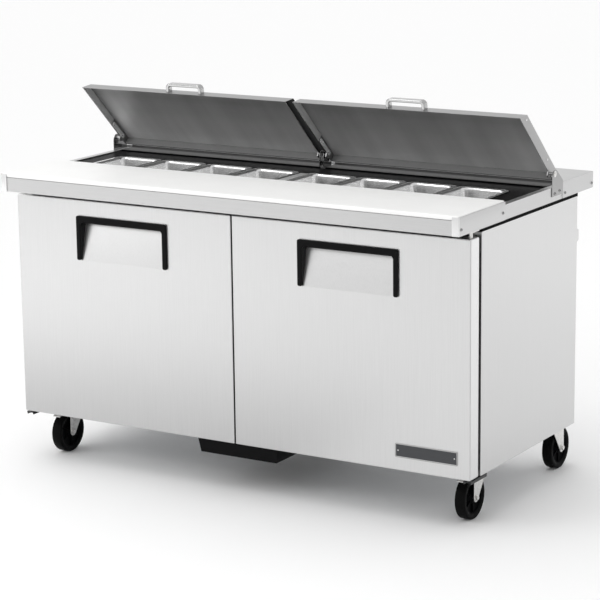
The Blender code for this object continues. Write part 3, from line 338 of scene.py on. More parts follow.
def lid_lining(name, colour):
    """Dark satin stainless under the lids: streaks about 60 mm wide from rolling.

    Painted light makes it paler towards the hinge, by shares at heights above the floor.
    Its brush lines are drawn 1.6 mm wide, since real ones are too fine to show.
    """
    # Painted light: the colour at its brightest, and the shares of it at heights above the floor, palest
    # near the hinge
    palest = 2.15
    painted_light_shares = ((0.945, 1.0), (1.030, 0.47), (1.085, 0.26))
    streaks = Pattern(0.06, stretch=(1.0, 12.0, 12.0))
    lines = Pattern(0.0016, stretch=(90.0, 1.0, 1.0))
    pale = [palest * channel for channel in colour]
    made = surface(name, pale, (lines, 0.36, 0.48), (streaks, 0.90, 1.10), metallic=0.3, ior=1.5)
    tree = made.node_tree
    base = tree.nodes["Principled BSDF"].inputs["Base Color"]
    place = add_node(tree, "ShaderNodeTexCoord")
    axes = add_node(tree, "ShaderNodeSeparateXYZ", {"Vector": place.outputs["Object"]})
    hinge, rim = painted_light_shares[0][0], painted_light_shares[-1][0]
    height = add_node(tree, "ShaderNodeMapRange", {
        "Value": axes.outputs["Z"], "From Min": hinge, "From Max": rim,
    })
    painted_light_ramp = add_node(tree, "ShaderNodeValToRGB", {"Fac": height.outputs["Result"]})
    stops = painted_light_ramp.color_ramp.elements
    for level, _ in painted_light_shares[1:-1]:
        stops.new((level - hinge) / (rim - hinge))
    for stop, (_, share) in zip(stops, painted_light_shares):
        stop.color = (share, share, share, 1.0)
    # The colour multiplied by the painted light
    painted_lit_base = add_node(tree, "ShaderNodeVectorMath", {
        0: base.links[0].from_socket, 1: painted_light_ramp.outputs["Color"],
    }, operation="MULTIPLY")
    tree.links.new(painted_lit_base.outputs["Vector"], base)
    return made


def board_plastic(name, colour):
    """High-density polyethylene, milled: white and satin, with a 2 mm grain and knife marks.

    The marks are drawn 1.2 mm wide, since real ones are too fine to show.
    """
    marks = Pattern(0.0012, 1.0, (1.0, 60.0, 1.0))
    grain = Pattern(0.002, 3.0, over=(marks,))
    return surface(
        name, colour, (grain, 0.36, 0.50), (Pattern(0.09), 0.985, 1.01), (grain, 0.00008), ior=1.54
    )


def moulded_plastic(name, colour, specular):
    """Black ABS, moulded in an etched tool: satin, with an even grit that softens its edges.

    The grit is drawn 1.1 mm across, since the real one is too fine to show.
    """
    grit = Pattern(0.0011)
    return surface(
        name, colour, (grit, 0.30, 0.46), (Pattern(0.03), 0.8, 1.2), (grit, 0.00005), ior=1.53,
        specular=specular,
    )


def tyre_rubber(name, colour):
    """Moulded rubber: matt black, scuffed lighter in 6 mm patches where it rolls and rubs."""
    scuffs = Pattern(0.006, 4.0)
    return surface(
        name, colour, (scuffs, 0.46, 0.66), (scuffs, 0.75, 1.6), (Pattern(0.0012), 0.00006), ior=1.52,
        specular=0.06,
    )


def zinc_plating(name, colour):
    """Bright zinc on pressed steel: silvery, with a soft spangle about 5 mm across."""
    spangle = Pattern(0.005, 0.0, cells=True)
    return surface(name, colour, (Pattern(0.004, 3.0), 0.24, 0.38), (spangle, 0.92, 1.03), metallic=1.0)


def lining_sheet(name, colour):
    """Galvanised lining sheet: pale grey, with a 14 mm spangle and faint wipe marks."""
    spangle = Pattern(0.014, 0.0, cells=True)
    return surface(name, colour, (Pattern(0.05, 3.0), 0.36, 0.50), (spangle, 0.93, 1.03), metallic=0.85)


def coated_wire(name, colour):
    """Polyester powder over steel wire: pale grey, satin, with a 1.5 mm orange peel."""
    peel = Pattern(0.0015)
    return surface(
        name, colour, (peel, 0.34, 0.48), (Pattern(0.02), 0.95, 1.02), (peel, 0.00006), ior=1.5
    )


def fin_stock(name, colour):
    """Aluminium fin stock: thin mill-finish strips, dusty in 20 mm patches."""
    dust = Pattern(0.02, 3.0)
    return surface(name, colour, (dust, 0.38, 0.60), (dust, 0.85, 1.03), metallic=0.9)


def copper_tube(name, colour):
    """Drawn copper tube: warm, with darker heat bloom in 12 mm patches."""
    bloom = Pattern(0.012, 3.0)
    return surface(name, colour, (bloom, 0.24, 0.42), (bloom, 0.75, 1.05), metallic=1.0)


def stove_enamel(name, colour):
    """Black stove enamel on steel: smooth and half gloss, with a 2 mm orange peel."""
    peel = Pattern(0.002)
    return surface(
        name, colour, (peel, 0.26, 0.42), (Pattern(0.04, 3.0), 0.85, 1.25), (peel, 0.00005), ior=1.5
    )


def plate_metal(name, colour):
    """Anodised aluminium plate: dark grey, brushed along its length.

    The lines are drawn 0.8 mm wide, since real ones are too fine to show.
    """
    lines = Pattern(0.0008, stretch=(60.0, 1.0, 1.0))
    return surface(name, colour, (lines, 0.30, 0.46), (lines, 0.9, 1.1), metallic=0.8)


# Each finish by its short name: its maker, the material's name, the colour setting and what else it needs
FINISHES = {
    "upright_steel": (brushed_steel, "brushed_stainless_upright", "steel", 2),
    "long_steel": (brushed_steel, "brushed_stainless_long", "top_steel", 0),
    "cross_steel": (brushed_steel, "brushed_stainless_cross", "top_steel", 1),
    "lid_steel": (brushed_steel, "brushed_stainless_lid", "lid_steel", 0),
    "edge_steel": (brushed_steel, "brushed_stainless_edge", "edge_steel", 2),
    "bright": (bright_steel, "polished_stainless", "bright", 0.16),
    "chrome": (bright_steel, "buffed_stainless", "chrome", 0.10),
    "handle": (bright_steel, "chromed_steel", "handle", 0.08),
    "satin": (satin_steel, "dull_stainless", "satin"),
    "tail": (satin_steel, "dark_dull_stainless", "tail"),
    "rail": (satin_steel, "shaded_dull_stainless", "rail"),
    "arm": (satin_steel, "dull_zinc", "arm"),
    "lid_lining": (lid_lining, "dark_satin_stainless", "lid_liner"),
    "board": (board_plastic, "white_polyethylene", "board"),
    "plastic": (moulded_plastic, "black_abs", "plastic", 0.08),
    "well": (moulded_plastic, "matt_black_abs", "plastic", 0.02),
    "rubber": (tyre_rubber, "black_rubber", "rubber"),
    "zinc": (zinc_plating, "bright_zinc", "zinc"),
    "lining": (lining_sheet, "galvanised_lining", "inside"),
    "wire": (coated_wire, "powder_coated_wire", "wire"),
    "fins": (fin_stock, "aluminium_fins", "fins"),
    "copper": (copper_tube, "copper_tube", "copper"),
    "enamel": (stove_enamel, "black_enamel", "enamel"),
    "plate": (plate_metal, "dark_anodised_aluminium", "plate"),
}
MADE = {}


def finish(look):
    """A finish by its short name, made once."""
    if look not in MADE:
        maker, name, setting, *more = FINISHES[look]
        MADE[look] = maker(name, getattr(bpy.context.scene.prep_finishes, setting), *more)
    return MADE[look]


# Shapes


def stand(name, data):
    """A mesh, lamp or camera as an object in the scene, at the origin."""
    made = bpy.data.objects.new(name, data)
    bpy.context.scene.collection.objects.link(made)
    return made


def shade(mesh, sharp=35.0):
    """Shades a mesh smooth, apart from edges sharper than an angle in degrees."""
    mesh.shade_smooth()
    mesh.set_sharp_from_angle(angle=math.radians(sharp))


def loft(name, loops, look, closed=False, sharp=35.0):
    """Bridges loops of equally many points, and caps the ends or closes them into a ring."""
    shape = bmesh.new()
    rows = [[shape.verts.new(point) for point in loop] for loop in loops]
    for here, there in zip(rows, rows[1:] + rows[:1] if closed else rows[1:]):
        for step in range(len(here)):
            shape.faces.new((here[step - 1], here[step], there[step], there[step - 1]))
    if not closed:
        shape.faces.new(rows[0])
        shape.faces.new(rows[-1])
    bmesh.ops.recalc_face_normals(shape, faces=shape.faces)
    mesh = bpy.data.meshes.new(name)
    shape.to_mesh(mesh)
    shape.free()
    mesh.materials.append(finish(look))
    shade(mesh, sharp)
    return stand(name, mesh)


def on_axis(axis, along, first, second):
    """A point from a distance along an axis and the two coordinates across it."""
    place = [first, second]
    place.insert("XYZ".index(axis), along)
    return Vector(place)


def bend_points(before, here, after, radius, steps):
    """Points round a bend at a corner between two others, or the corner where there is no room for one."""
    # A bend takes up less than half of each side, and a shorter one than this is left out
    most, least = 0.49, 1e-5
    back, on = before - here, after - here
    half = back.angle(on) / 2
    reach = min(radius / math.tan(half), most * back.length, most * on.length)
    if reach < least:
        return [here]
    back.normalize()
    on.normalize()
    middle = here + (back + on).normalized() * reach / math.cos(half)
    start, stop = here + back * reach - middle, here + on * reach - middle
    sweep = math.pi - 2 * half
    turns = [sweep * step / steps for step in range(steps + 1)]
    arc = [start * math.sin(sweep - turn) + stop * math.sin(turn) for turn in turns]
    return [middle + spoke / math.sin(sweep) for spoke in arc]


def round_corners(corners, steps=4):
    """An outline whose corners, given as first, second and radius, are rounded."""
    places = [Vector(corner[:2]) for corner in corners]
    points = []
    for index, here in enumerate(places):
        after = places[(index + 1) % len(places)]
        points += bend_points(places[index - 1], here, after, corners[index][2], steps)
    return points


def bent_path(corners, steps=6):
    """Points along a line through corners, each given as a point and a bend radius."""
    points = [Vector(corners[0][0])]
    for (before, _), (here, radius), (after, _) in zip(corners, corners[1:], corners[2:]):
        points += bend_points(Vector(before), Vector(here), Vector(after), radius, steps)
    return [*points, Vector(corners[-1][0])]


def bar_outline(low_first, low_second, high_first, high_second, radius):
    """A rectangle with round corners, as an outline."""
    return round_corners([
        (low_first, low_second, radius), (high_first, low_second, radius),
        (high_first, high_second, radius), (low_first, high_second, radius),
    ])


def inset_loops(profile, low, high, axis, corner, shrink=1.0, least=0.0002):
    """Loops inside a rectangle, by pairs of inset and level, whose corners tighten with the inset."""
    loops = []
    for inset, level in profile:
        radius = max(corner - shrink * inset, least)
        outline = bar_outline(low[0] + inset, low[1] + inset, high[0] - inset, high[1] - inset, radius)
        loops.append([on_axis(axis, level, *point) for point in outline])
    return loops


def slab(name, outline, axis, start, stop, look, edge=0.0, steps=2):
    """An outline extruded along an axis, with its rims rounded."""
    loops = [[on_axis(axis, along, *point) for point in outline] for along in (start, stop)]
    made = loft(name, loops, look)
    if edge:
        bevel = made.modifiers.new("edge_round", "BEVEL")
        bevel.width = edge
        bevel.segments = steps
        bevel.limit_method = "ANGLE"
        bevel.angle_limit = math.radians(50)
    return made


def circle(radius, steps=10):
    """Pairs of coordinates round a circle."""
    turns = [2 * math.pi * step / steps for step in range(steps)]
    return [(radius * math.cos(turn), radius * math.sin(turn)) for turn in turns]


def lathe(name, profile, axis, middle, look, steps=40, closed=False):
    """A profile of radius and distance pairs turned round an axis through a middle."""
    loops = []
    for radius, along in profile:
        places = [(middle[0] + first, middle[1] + second) for first, second in circle(radius, steps)]
        loops.append([on_axis(axis, along, *place) for place in places])
    return loft(name, loops, look, closed)


def swept(name, path, section, across, look):
    """A section of across and outward pairs carried along a path that lies square to across."""
    loops = []
    for index, point in enumerate(path):
        ahead = path[min(index + 1, len(path) - 1)] - path[max(index - 1, 0)]
        outward = across.cross(ahead.normalized())
        loops.append([point + across * side + outward * out for side, out in section])
    return loft(name, loops, look)


def tube(name, corners, radius, look):
    """A round tube along a bent path, with a frame carried along it."""
    path = bent_path(corners)
    across = (path[1] - path[0]).orthogonal()
    loops = []
    for index, point in enumerate(path):
        ahead = (path[min(index + 1, len(path) - 1)] - path[max(index - 1, 0)]).normalized()
        across = (across - ahead * across.dot(ahead)).normalized()
        outward = ahead.cross(across)
        loops.append([point + across * side + outward * out for side, out in circle(radius)])
    return loft(name, loops, look)


def moved(item, matrix):
    """Carries a piece's mesh to its place, so that the object stays at the origin."""
    item.data.transform(matrix)
    if matrix.determinant() < 0:
        item.data.flip_normals()
    return item


def turned_out(item, x, sign):
    """Carries a piece that points along +X to a place along X, mirrored where it points to the left."""
    return moved(item, Matrix.Translation((x, 0.0, 0.0)) @ Matrix.Diagonal((sign, 1, 1, 1)))


def plain_mesh(item, name):
    """The evaluated shape of an object as a new object with no modifiers; the old one goes."""
    bpy.context.view_layer.update()
    found = item.evaluated_get(bpy.context.evaluated_depsgraph_get())
    mesh = bpy.data.meshes.new_from_object(found)
    bpy.data.objects.remove(item, do_unlink=True)
    mesh.name = name
    return stand(name, mesh)


def joined(name, parts):
    """One plain mesh object from several parts, with their modifiers applied."""
    shape = bmesh.new()
    looks = []
    for part in [plain_mesh(part, "part") for part in parts]:
        looks += [look for look in part.data.materials if look not in looks]
        places = [looks.index(look) for look in part.data.materials]
        first = len(shape.faces)
        shape.from_mesh(part.data)
        shape.faces.ensure_lookup_table()
        for face in shape.faces[first:]:
            face.material_index = places[face.material_index]
        bpy.data.objects.remove(part, do_unlink=True)
    mesh = bpy.data.meshes.new(name)
    shape.to_mesh(mesh)
    shape.free()
    for look in looks:
        mesh.materials.append(look)
    return stand(name, mesh)


def settle(item, body, slot, *nodes):
    """Hands a finished piece to the frame: its body and the nodes it stands for, which it hides. The slot
    argument is not used.
    """
    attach(item, body)
    if nodes:
        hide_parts(*nodes)


# Geometry node trees


def new_tree(name, **sockets):
    """A geometry tree with inputs for a geometry, a material and more by name, and what it is given."""
    tree = bpy.data.node_groups.new(name, "GeometryNodeTree")
    inputs = {"Geometry": "NodeSocketGeometry", **sockets, "Material": "NodeSocketMaterial"}
    for label, kind in inputs.items():
        tree.interface.new_socket(label, in_out="INPUT", socket_type=kind)
    tree.interface.new_socket("Geometry", in_out="OUTPUT", socket_type="NodeSocketGeometry")
    return tree, add_node(tree, "NodeGroupInput").outputs


def end_tree(tree, given, copies):
    """Ends a tree: copies made real, then the material."""
    real = add_node(tree, "GeometryNodeRealizeInstances", {"Geometry": copies.outputs["Instances"]})
    coloured = add_node(tree, "GeometryNodeSetMaterial", {
        "Geometry": real.outputs["Geometry"], "Material": given["Material"],
    })
    add_node(tree, "NodeGroupOutput", {"Geometry": coloured.outputs["Geometry"]})
    return tree


def row_of_copies(name):
    """Copies of a shape in a straight row."""
    tree, given = new_tree(name, Count="NodeSocketInt", Step="NodeSocketVector")
    line = add_node(tree, "GeometryNodeMeshLine", {
        "Count": given["Count"], "Offset": given["Step"],
    }, mode="OFFSET")
    return end_tree(tree, given, add_node(tree, "GeometryNodeInstanceOnPoints", {
        "Points": line.outputs["Mesh"], "Instance": given["Geometry"],
    }))


def ring_of_copies(name):
    """Copies of a shape turned evenly round an axis through the origin."""
    tree, given = new_tree(name, Count="NodeSocketInt", Axis="NodeSocketVector")
    points = add_node(tree, "GeometryNodePoints", {"Count": given["Count"]})
    index = add_node(tree, "GeometryNodeInputIndex")
    share = add_node(tree, "ShaderNodeMath", {
        0: index.outputs["Index"], 1: given["Count"],
    }, operation="DIVIDE")
    turn = add_node(tree, "ShaderNodeMath", {
        0: share.outputs["Value"], 1: 2 * math.pi,
    }, operation="MULTIPLY")
    angles = add_node(tree, "ShaderNodeVectorMath", {
        0: given["Axis"], "Scale": turn.outputs["Value"],
    }, operation="SCALE")
    return end_tree(tree, given, add_node(tree, "GeometryNodeInstanceOnPoints", {
        "Points": points.outputs["Points"], "Instance": given["Geometry"],
        "Rotation": angles.outputs["Vector"],
    }))


def fastener_heads(name):
    """A screw or rivet head on each point, facing the way that the point's aim says."""
    tree, given = new_tree(name, Head="NodeSocketObject", Radius="NodeSocketFloat")
    head = add_node(tree, "GeometryNodeObjectInfo", {"Object": given["Head"]})
    aim = add_node(tree, "GeometryNodeInputNamedAttribute", {"Name": "aim"}, data_type="FLOAT_VECTOR")
    turned = add_node(tree, "FunctionNodeAlignRotationToVector", {
        "Vector": aim.outputs["Attribute"],
    }, axis="Z")
    size = add_node(tree, "ShaderNodeCombineXYZ", {axis: given["Radius"] for axis in "XYZ"})
    return end_tree(tree, given, add_node(tree, "GeometryNodeInstanceOnPoints", {
        "Points": given["Geometry"], "Instance": head.outputs["Geometry"],
        "Rotation": turned.outputs["Rotation"], "Scale": size.outputs["Vector"],
    }))


def grow(item, name, maker, look, **values):
    """Runs a geometry tree, made once, on an object and keeps the result as a plain mesh."""
    tree = bpy.data.node_groups.get(maker.__name__) or maker(maker.__name__)
    change = item.modifiers.new(maker.__name__, "NODES")
    change.node_group = tree
    for label, value in {**values, "Material": finish(look)}.items():
        change[tree.interface.items_tree[label].identifier] = value
    made = plain_mesh(item, name)
    if not made.data.polygons:
        raise RuntimeError(f"{name} came out empty")
    return made


def row(name, item, count, step, look):
    """A row of copies of a shape."""
    return grow(item, name, row_of_copies, look, Count=count, Step=step)


def ring(name, item, count, axis, look):
    """A ring of copies of a shape round an axis through the origin."""
    return grow(item, name, ring_of_copies, look, Count=count, Axis=axis)


def fasteners(name, places, radius, look, socketed=True):
    """Screw or rivet heads at places, each a point and the way that it faces."""
    profile = [(1.0, 0.0), (1.0, 0.18), (0.82, 0.44), (0.46, 0.60)]
    profile += [(0.40, 0.30), (0.12, 0.28)] if socketed else [(0.12, 0.66)]
    head = lathe("head", profile, "Z", (0.0, 0.0), look, steps=12)
    mesh = bpy.data.meshes.new(name)
    mesh.from_pydata([point for point, _ in places], [], [])
    aims = mesh.attributes.new("aim", "FLOAT_VECTOR", "POINT")
    for item, (_, aim) in zip(aims.data, places):
        item.vector = aim
    made = grow(stand(name, mesh), name, fastener_heads, look, Head=head, Radius=radius)
    bpy.data.objects.remove(head, do_unlink=True)
    shade(made.data)
    return made


# Operators, one for each piece or group of like pieces


class PREPTABLE_OT_sheet_metal(bpy.types.Operator):
    """Gives the solid panels and boards that stay their finishes"""

    bl_idname = "preptable.sheet_metal"
    bl_label = "Panels and board"

    def execute(self, context):
        looks = {
            "upright_steel": (
                "door_left", "door_right", "side_panel_left", "side_panel_right",
                "rear_bumper_left", "rear_bumper_right",
            ),
            "long_steel": ("top_frame", "rear_deck"),
            "lid_steel": ("lid_shell_left", "lid_shell_right"),
            "lid_lining": ("lid_liner_left", "lid_liner_right", "divider_bar"),
            "board": ("cutting_board",),
            "plastic": ("condensate_tray",),
            "well": ("pan_collar",),
            "lining": ("cabinet_floor", "back_panel", "centre_mullion", "evaporator_cover"),
            "zinc": ("hinge_top_left", "hinge_top_right"),
        }
        for look, nodes in looks.items():
            for node in nodes:
                materials = frame["nodes"][node].data.materials
                materials.clear()
                materials.append(finish(look))
        return {"FINISHED"}


class PREPTABLE_OT_door_pulls(bpy.types.Operator):
    """Moulds the door pulls with rounded ends, a finger lip and recess cheeks"""

    bl_idname = "preptable.door_pulls"
    bl_label = "Door pulls"

    def execute(self, context):
        size = context.scene.prep_sizes
        end, bend, margin, gap = 0.0055, 0.010, 0.0025, 0.0005
        lip_sheet, lip_reach, lip_corner = 0.004, 0.022, 0.0015
        cheek_sheet, cheek_edge = 0.002, 0.0003
        for side in SIDES:
            low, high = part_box(f"door_pull_{side}")
            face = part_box(f"door_{side}")[0].y
            middle = (low.x + high.x) / 2
            outer = (high.x - low.x) / 2
            inner = outer - size.pull_leg
            under = high.z - size.pull_bar
            hoop = round_corners([
                (middle - outer, low.z, end), (middle - inner, low.z, end),
                (middle - inner, under, bend), (middle + inner, under, bend),
                (middle + inner, low.z, end), (middle + outer, low.z, end),
                (middle + outer, high.z, end), (middle - outer, high.z, end),
            ], steps=5)
            parts = [slab("hoop", hoop, "Y", low.y, face - SEAT, "plastic", size.pull_edge, 3)]

            root = (low.y + face) / 2
            recess_top = under + margin
            lip_top = recess_top - gap
            lip = bar_outline(root, lip_top - lip_sheet, face + lip_reach, lip_top, lip_corner)
            half = inner + margin / 2
            parts.append(slab("lip", lip, "X", middle - half, middle + half, "plastic", FINE_EDGE))

            slope = size.recess_depth / (recess_top - low.z)
            toe, head = low.z + margin, lip_top - SEAT
            back = [(face + (level - low.z) * slope - gap, level) for level in (toe, head)]
            cheek = [(root, toe), *back, (root, head)]
            for sign in (-1, 1):
                near, far = (middle + sign * (inner + depth) for depth in (SEAT, cheek_sheet))
                parts.append(slab("cheek", cheek, "X", near, far, "plastic", cheek_edge, 1))
            pull = joined(f"moulded_pull_{side}", parts)
            settle(pull, f"door_{side}", "black_plastic", f"door_pull_{side}")
        return {"FINISHED"}


class PREPTABLE_OT_door_seals(bpy.types.Operator):
    """Makes the bellows gaskets and the pressed inner door linings"""

    bl_idname = "preptable.door_seals"
    bl_label = "Door seals and linings"

    def execute(self, context):
        width, seal_corner, lining_corner = 0.020, 0.003, 0.026
        # One side of the bellows, as shares of its width and depth
        bellows = [(0.0, 0.0), (0.0, 0.20), (0.14, 0.32), (0.0, 0.46), (0.14, 0.60), (0.02, 0.74)]
        bellows += [(0.06, 0.94), (0.16, 1.0)]
        bellows += [(1 - inset, share) for inset, share in reversed(bellows)]
        # Inset from the gasket's edge and rise from the door's back
        pressing = [(0.028, 0.0), (0.031, 0.0012), (0.046, 0.0050), (0.052, 0.0060)]
        pressing += [(0.080, 0.0060), (0.083, 0.0054), (0.086, 0.0042), (0.089, 0.0042)]
        for side in SIDES:
            low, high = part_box(f"gasket_{side}")
            corners = (low.xz, high.xz)
            profile = [(width * inset, low.y + (high.y - low.y) * share) for inset, share in bellows]
            loops = inset_loops(profile, *corners, "Y", seal_corner)
            seal = loft(f"bellows_gasket_{side}", loops, "rubber", closed=True)
            settle(seal, f"door_{side}", "black_rubber", f"gasket_{side}")
            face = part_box(f"door_{side}")[1].y + SEAT
            profile = [(inset, face + rise) for inset, rise in pressing]
            loops = inset_loops(profile, *corners, "Y", lining_corner, shrink=0.0)
            lining = loft(f"door_lining_{side}", loops, "lining", sharp=60.0)
            settle(lining, f"door_{side}", "interior_liner")
        return {"FINISHED"}


class PREPTABLE_OT_hinges(bpy.types.Operator):
    """Folds the lower hinge brackets, with their pins in the doors"""

    bl_idname = "preptable.hinges"
    bl_label = "Lower hinges"

    def execute(self, context):
        sheet, leaf_corner, pin, chamfer = 0.0030, 0.004, 0.0050, 0.001
        flange, setback, gusset_corner = 0.0060, 0.0040, 0.0012
        for side in SIDES:
            low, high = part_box(f"hinge_bottom_{side}")
            fold = low.z + sheet / 2
            leaf = bar_outline(low.x, low.y, high.x, high.y, leaf_corner)
            parts = [slab("leaf", leaf, "Z", low.z, low.z + sheet, "enamel", SHEET_EDGE)]
            near, far = low.y + setback, high.y - setback
            gusset = bar_outline(near, low.z - flange, far, fold, gusset_corner)
            for x in (low.x, high.x - sheet):
                parts.append(slab("gusset", gusset, "X", x, x + sheet, "enamel", SHEET_EDGE))
            profile = [(pin, fold), (pin, high.z - chamfer), (pin - chamfer, high.z)]
            parts.append(lathe("pin", profile, "Z", JOINTS[f"door_{side}_hinge"].xy, "zinc", 24))
            bracket = joined(f"folded_hinge_{side}", parts)
            settle(bracket, "cabinet", "black_enamel", f"hinge_bottom_{side}")
        return {"FINISHED"}


class PREPTABLE_OT_edges(bpy.types.Operator):
    """Bends the board's corner brackets and caps the edges of the doors and side panels"""

    bl_idname = "preptable.edges"
    bl_label = "Corners and edges"

    def execute(self, context):
        for side, sign in SIDES.items():
            self.board_bracket(side, sign)
            self.door_edges(side, sign)
            self.panel_hem(side, sign)
        return {"FINISHED"}

    def board_bracket(self, side, sign):
        """The bent sheet round an end of the board."""
        half, bend = 0.0011, 0.0024
        low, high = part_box(f"board_bracket_{side}")
        inner, outer = (high.x, low.x) if sign < 0 else (low.x, high.x)
        middle, tall = (low.z + high.z) / 2, (high.z - low.z) / 2
        front, edge = low.y + half, outer - sign * half
        path = bent_path([
            ((inner, front, middle), 0.0), ((edge, front, middle), bend), ((edge, high.y, middle), 0.0),
        ])
        sheet = bar_outline(-tall, -half, tall, half, SHEET_EDGE)
        bracket = joined(f"bent_bracket_{side}", [
            # The front flange takes the lighter edge steel: a painted highlight on the board's corner
            swept("flange", path[:-1], sheet, UP, "edge_steel"),
            swept("side", path[-2:], sheet, UP, "cross_steel"),
        ])
        settle(bracket, "cabinet", "brushed_steel", f"board_bracket_{side}")

    def door_edges(self, side, sign):
        """The cap on a door's hinge edge, in lighter steel as a painted highlight, and the dark trim where
        the doors meet.
        """
        gap, cap_sheet, trim_sheet = 0.0001, 0.0005, 0.0006
        edge_inset, end_inset, corner = 0.002, 0.003, 0.001
        low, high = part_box(f"door_{side}")
        hinged, meeting = (high.x, low.x) if sign > 0 else (low.x, high.x)
        strip = bar_outline(
            low.y + edge_inset, low.z + end_inset, high.y - edge_inset, high.z - end_inset, corner
        )
        near, far = hinged + sign * gap, hinged + sign * cap_sheet
        cap = slab(f"door_edge_{side}", strip, "X", near, far, "edge_steel")
        settle(cap, f"door_{side}", "brushed_steel")
        near, far = meeting - sign * gap, meeting - sign * trim_sheet
        trim = slab(f"door_trim_{side}", strip, "X", near, far, "rubber")
        settle(trim, f"door_{side}", "black_rubber")

    def panel_hem(self, side, sign):
        """The hem on a side panel's top outer edge."""
        thick, below, above = 0.0030, 0.0020, 0.0046
        low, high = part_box(f"side_panel_{side}")
        outer = high.x if sign > 0 else low.x
        hem = bar_outline(low.y, high.z - below, high.y, high.z + above, SHEET_EDGE)
        cap = slab(f"side_cap_{side}", hem, "X", outer - sign * thick, outer, "upright_steel")
        settle(cap, "cabinet", "brushed_steel")


class PREPTABLE_OT_lid_handles(bpy.types.Operator):
    """Bends the strap handles on the lids' front edges"""

    bl_idname = "preptable.lid_handles"
    bl_label = "Lid handles"

    def execute(self, context):
        size = context.scene.prep_sizes
        bend, corner, lean = 0.010, 0.0030, math.radians(48.58)
        out, front, rise = 0.381, -0.253, 0.017
        wide, thick = size.handle_strap / 2, size.handle_bar / 2
        half, top = size.handle_width / 2 - thick, size.handle_height - thick
        strap = bar_outline(-wide, -thick, wide, thick, corner)
        path = bent_path([
            ((-half, 0.0, SEAT), 0.0), ((-half, 0.0, top), bend), ((half, 0.0, top), bend),
            ((half, 0.0, SEAT), 0.0),
        ], steps=8)
        for side, sign in SIDES.items():
            handle = swept(f"strap_handle_{side}", path, strap, Vector((0.0, 1.0, 0.0)), "handle")
            foot = Matrix.Translation((sign * out, front, rise)) @ Matrix.Rotation(lean, 4, "X")
            settle(moved(handle, LID_PLACE @ foot), f"lid_{side}", "bright_steel", f"lid_handle_{side}")
        return {"FINISHED"}


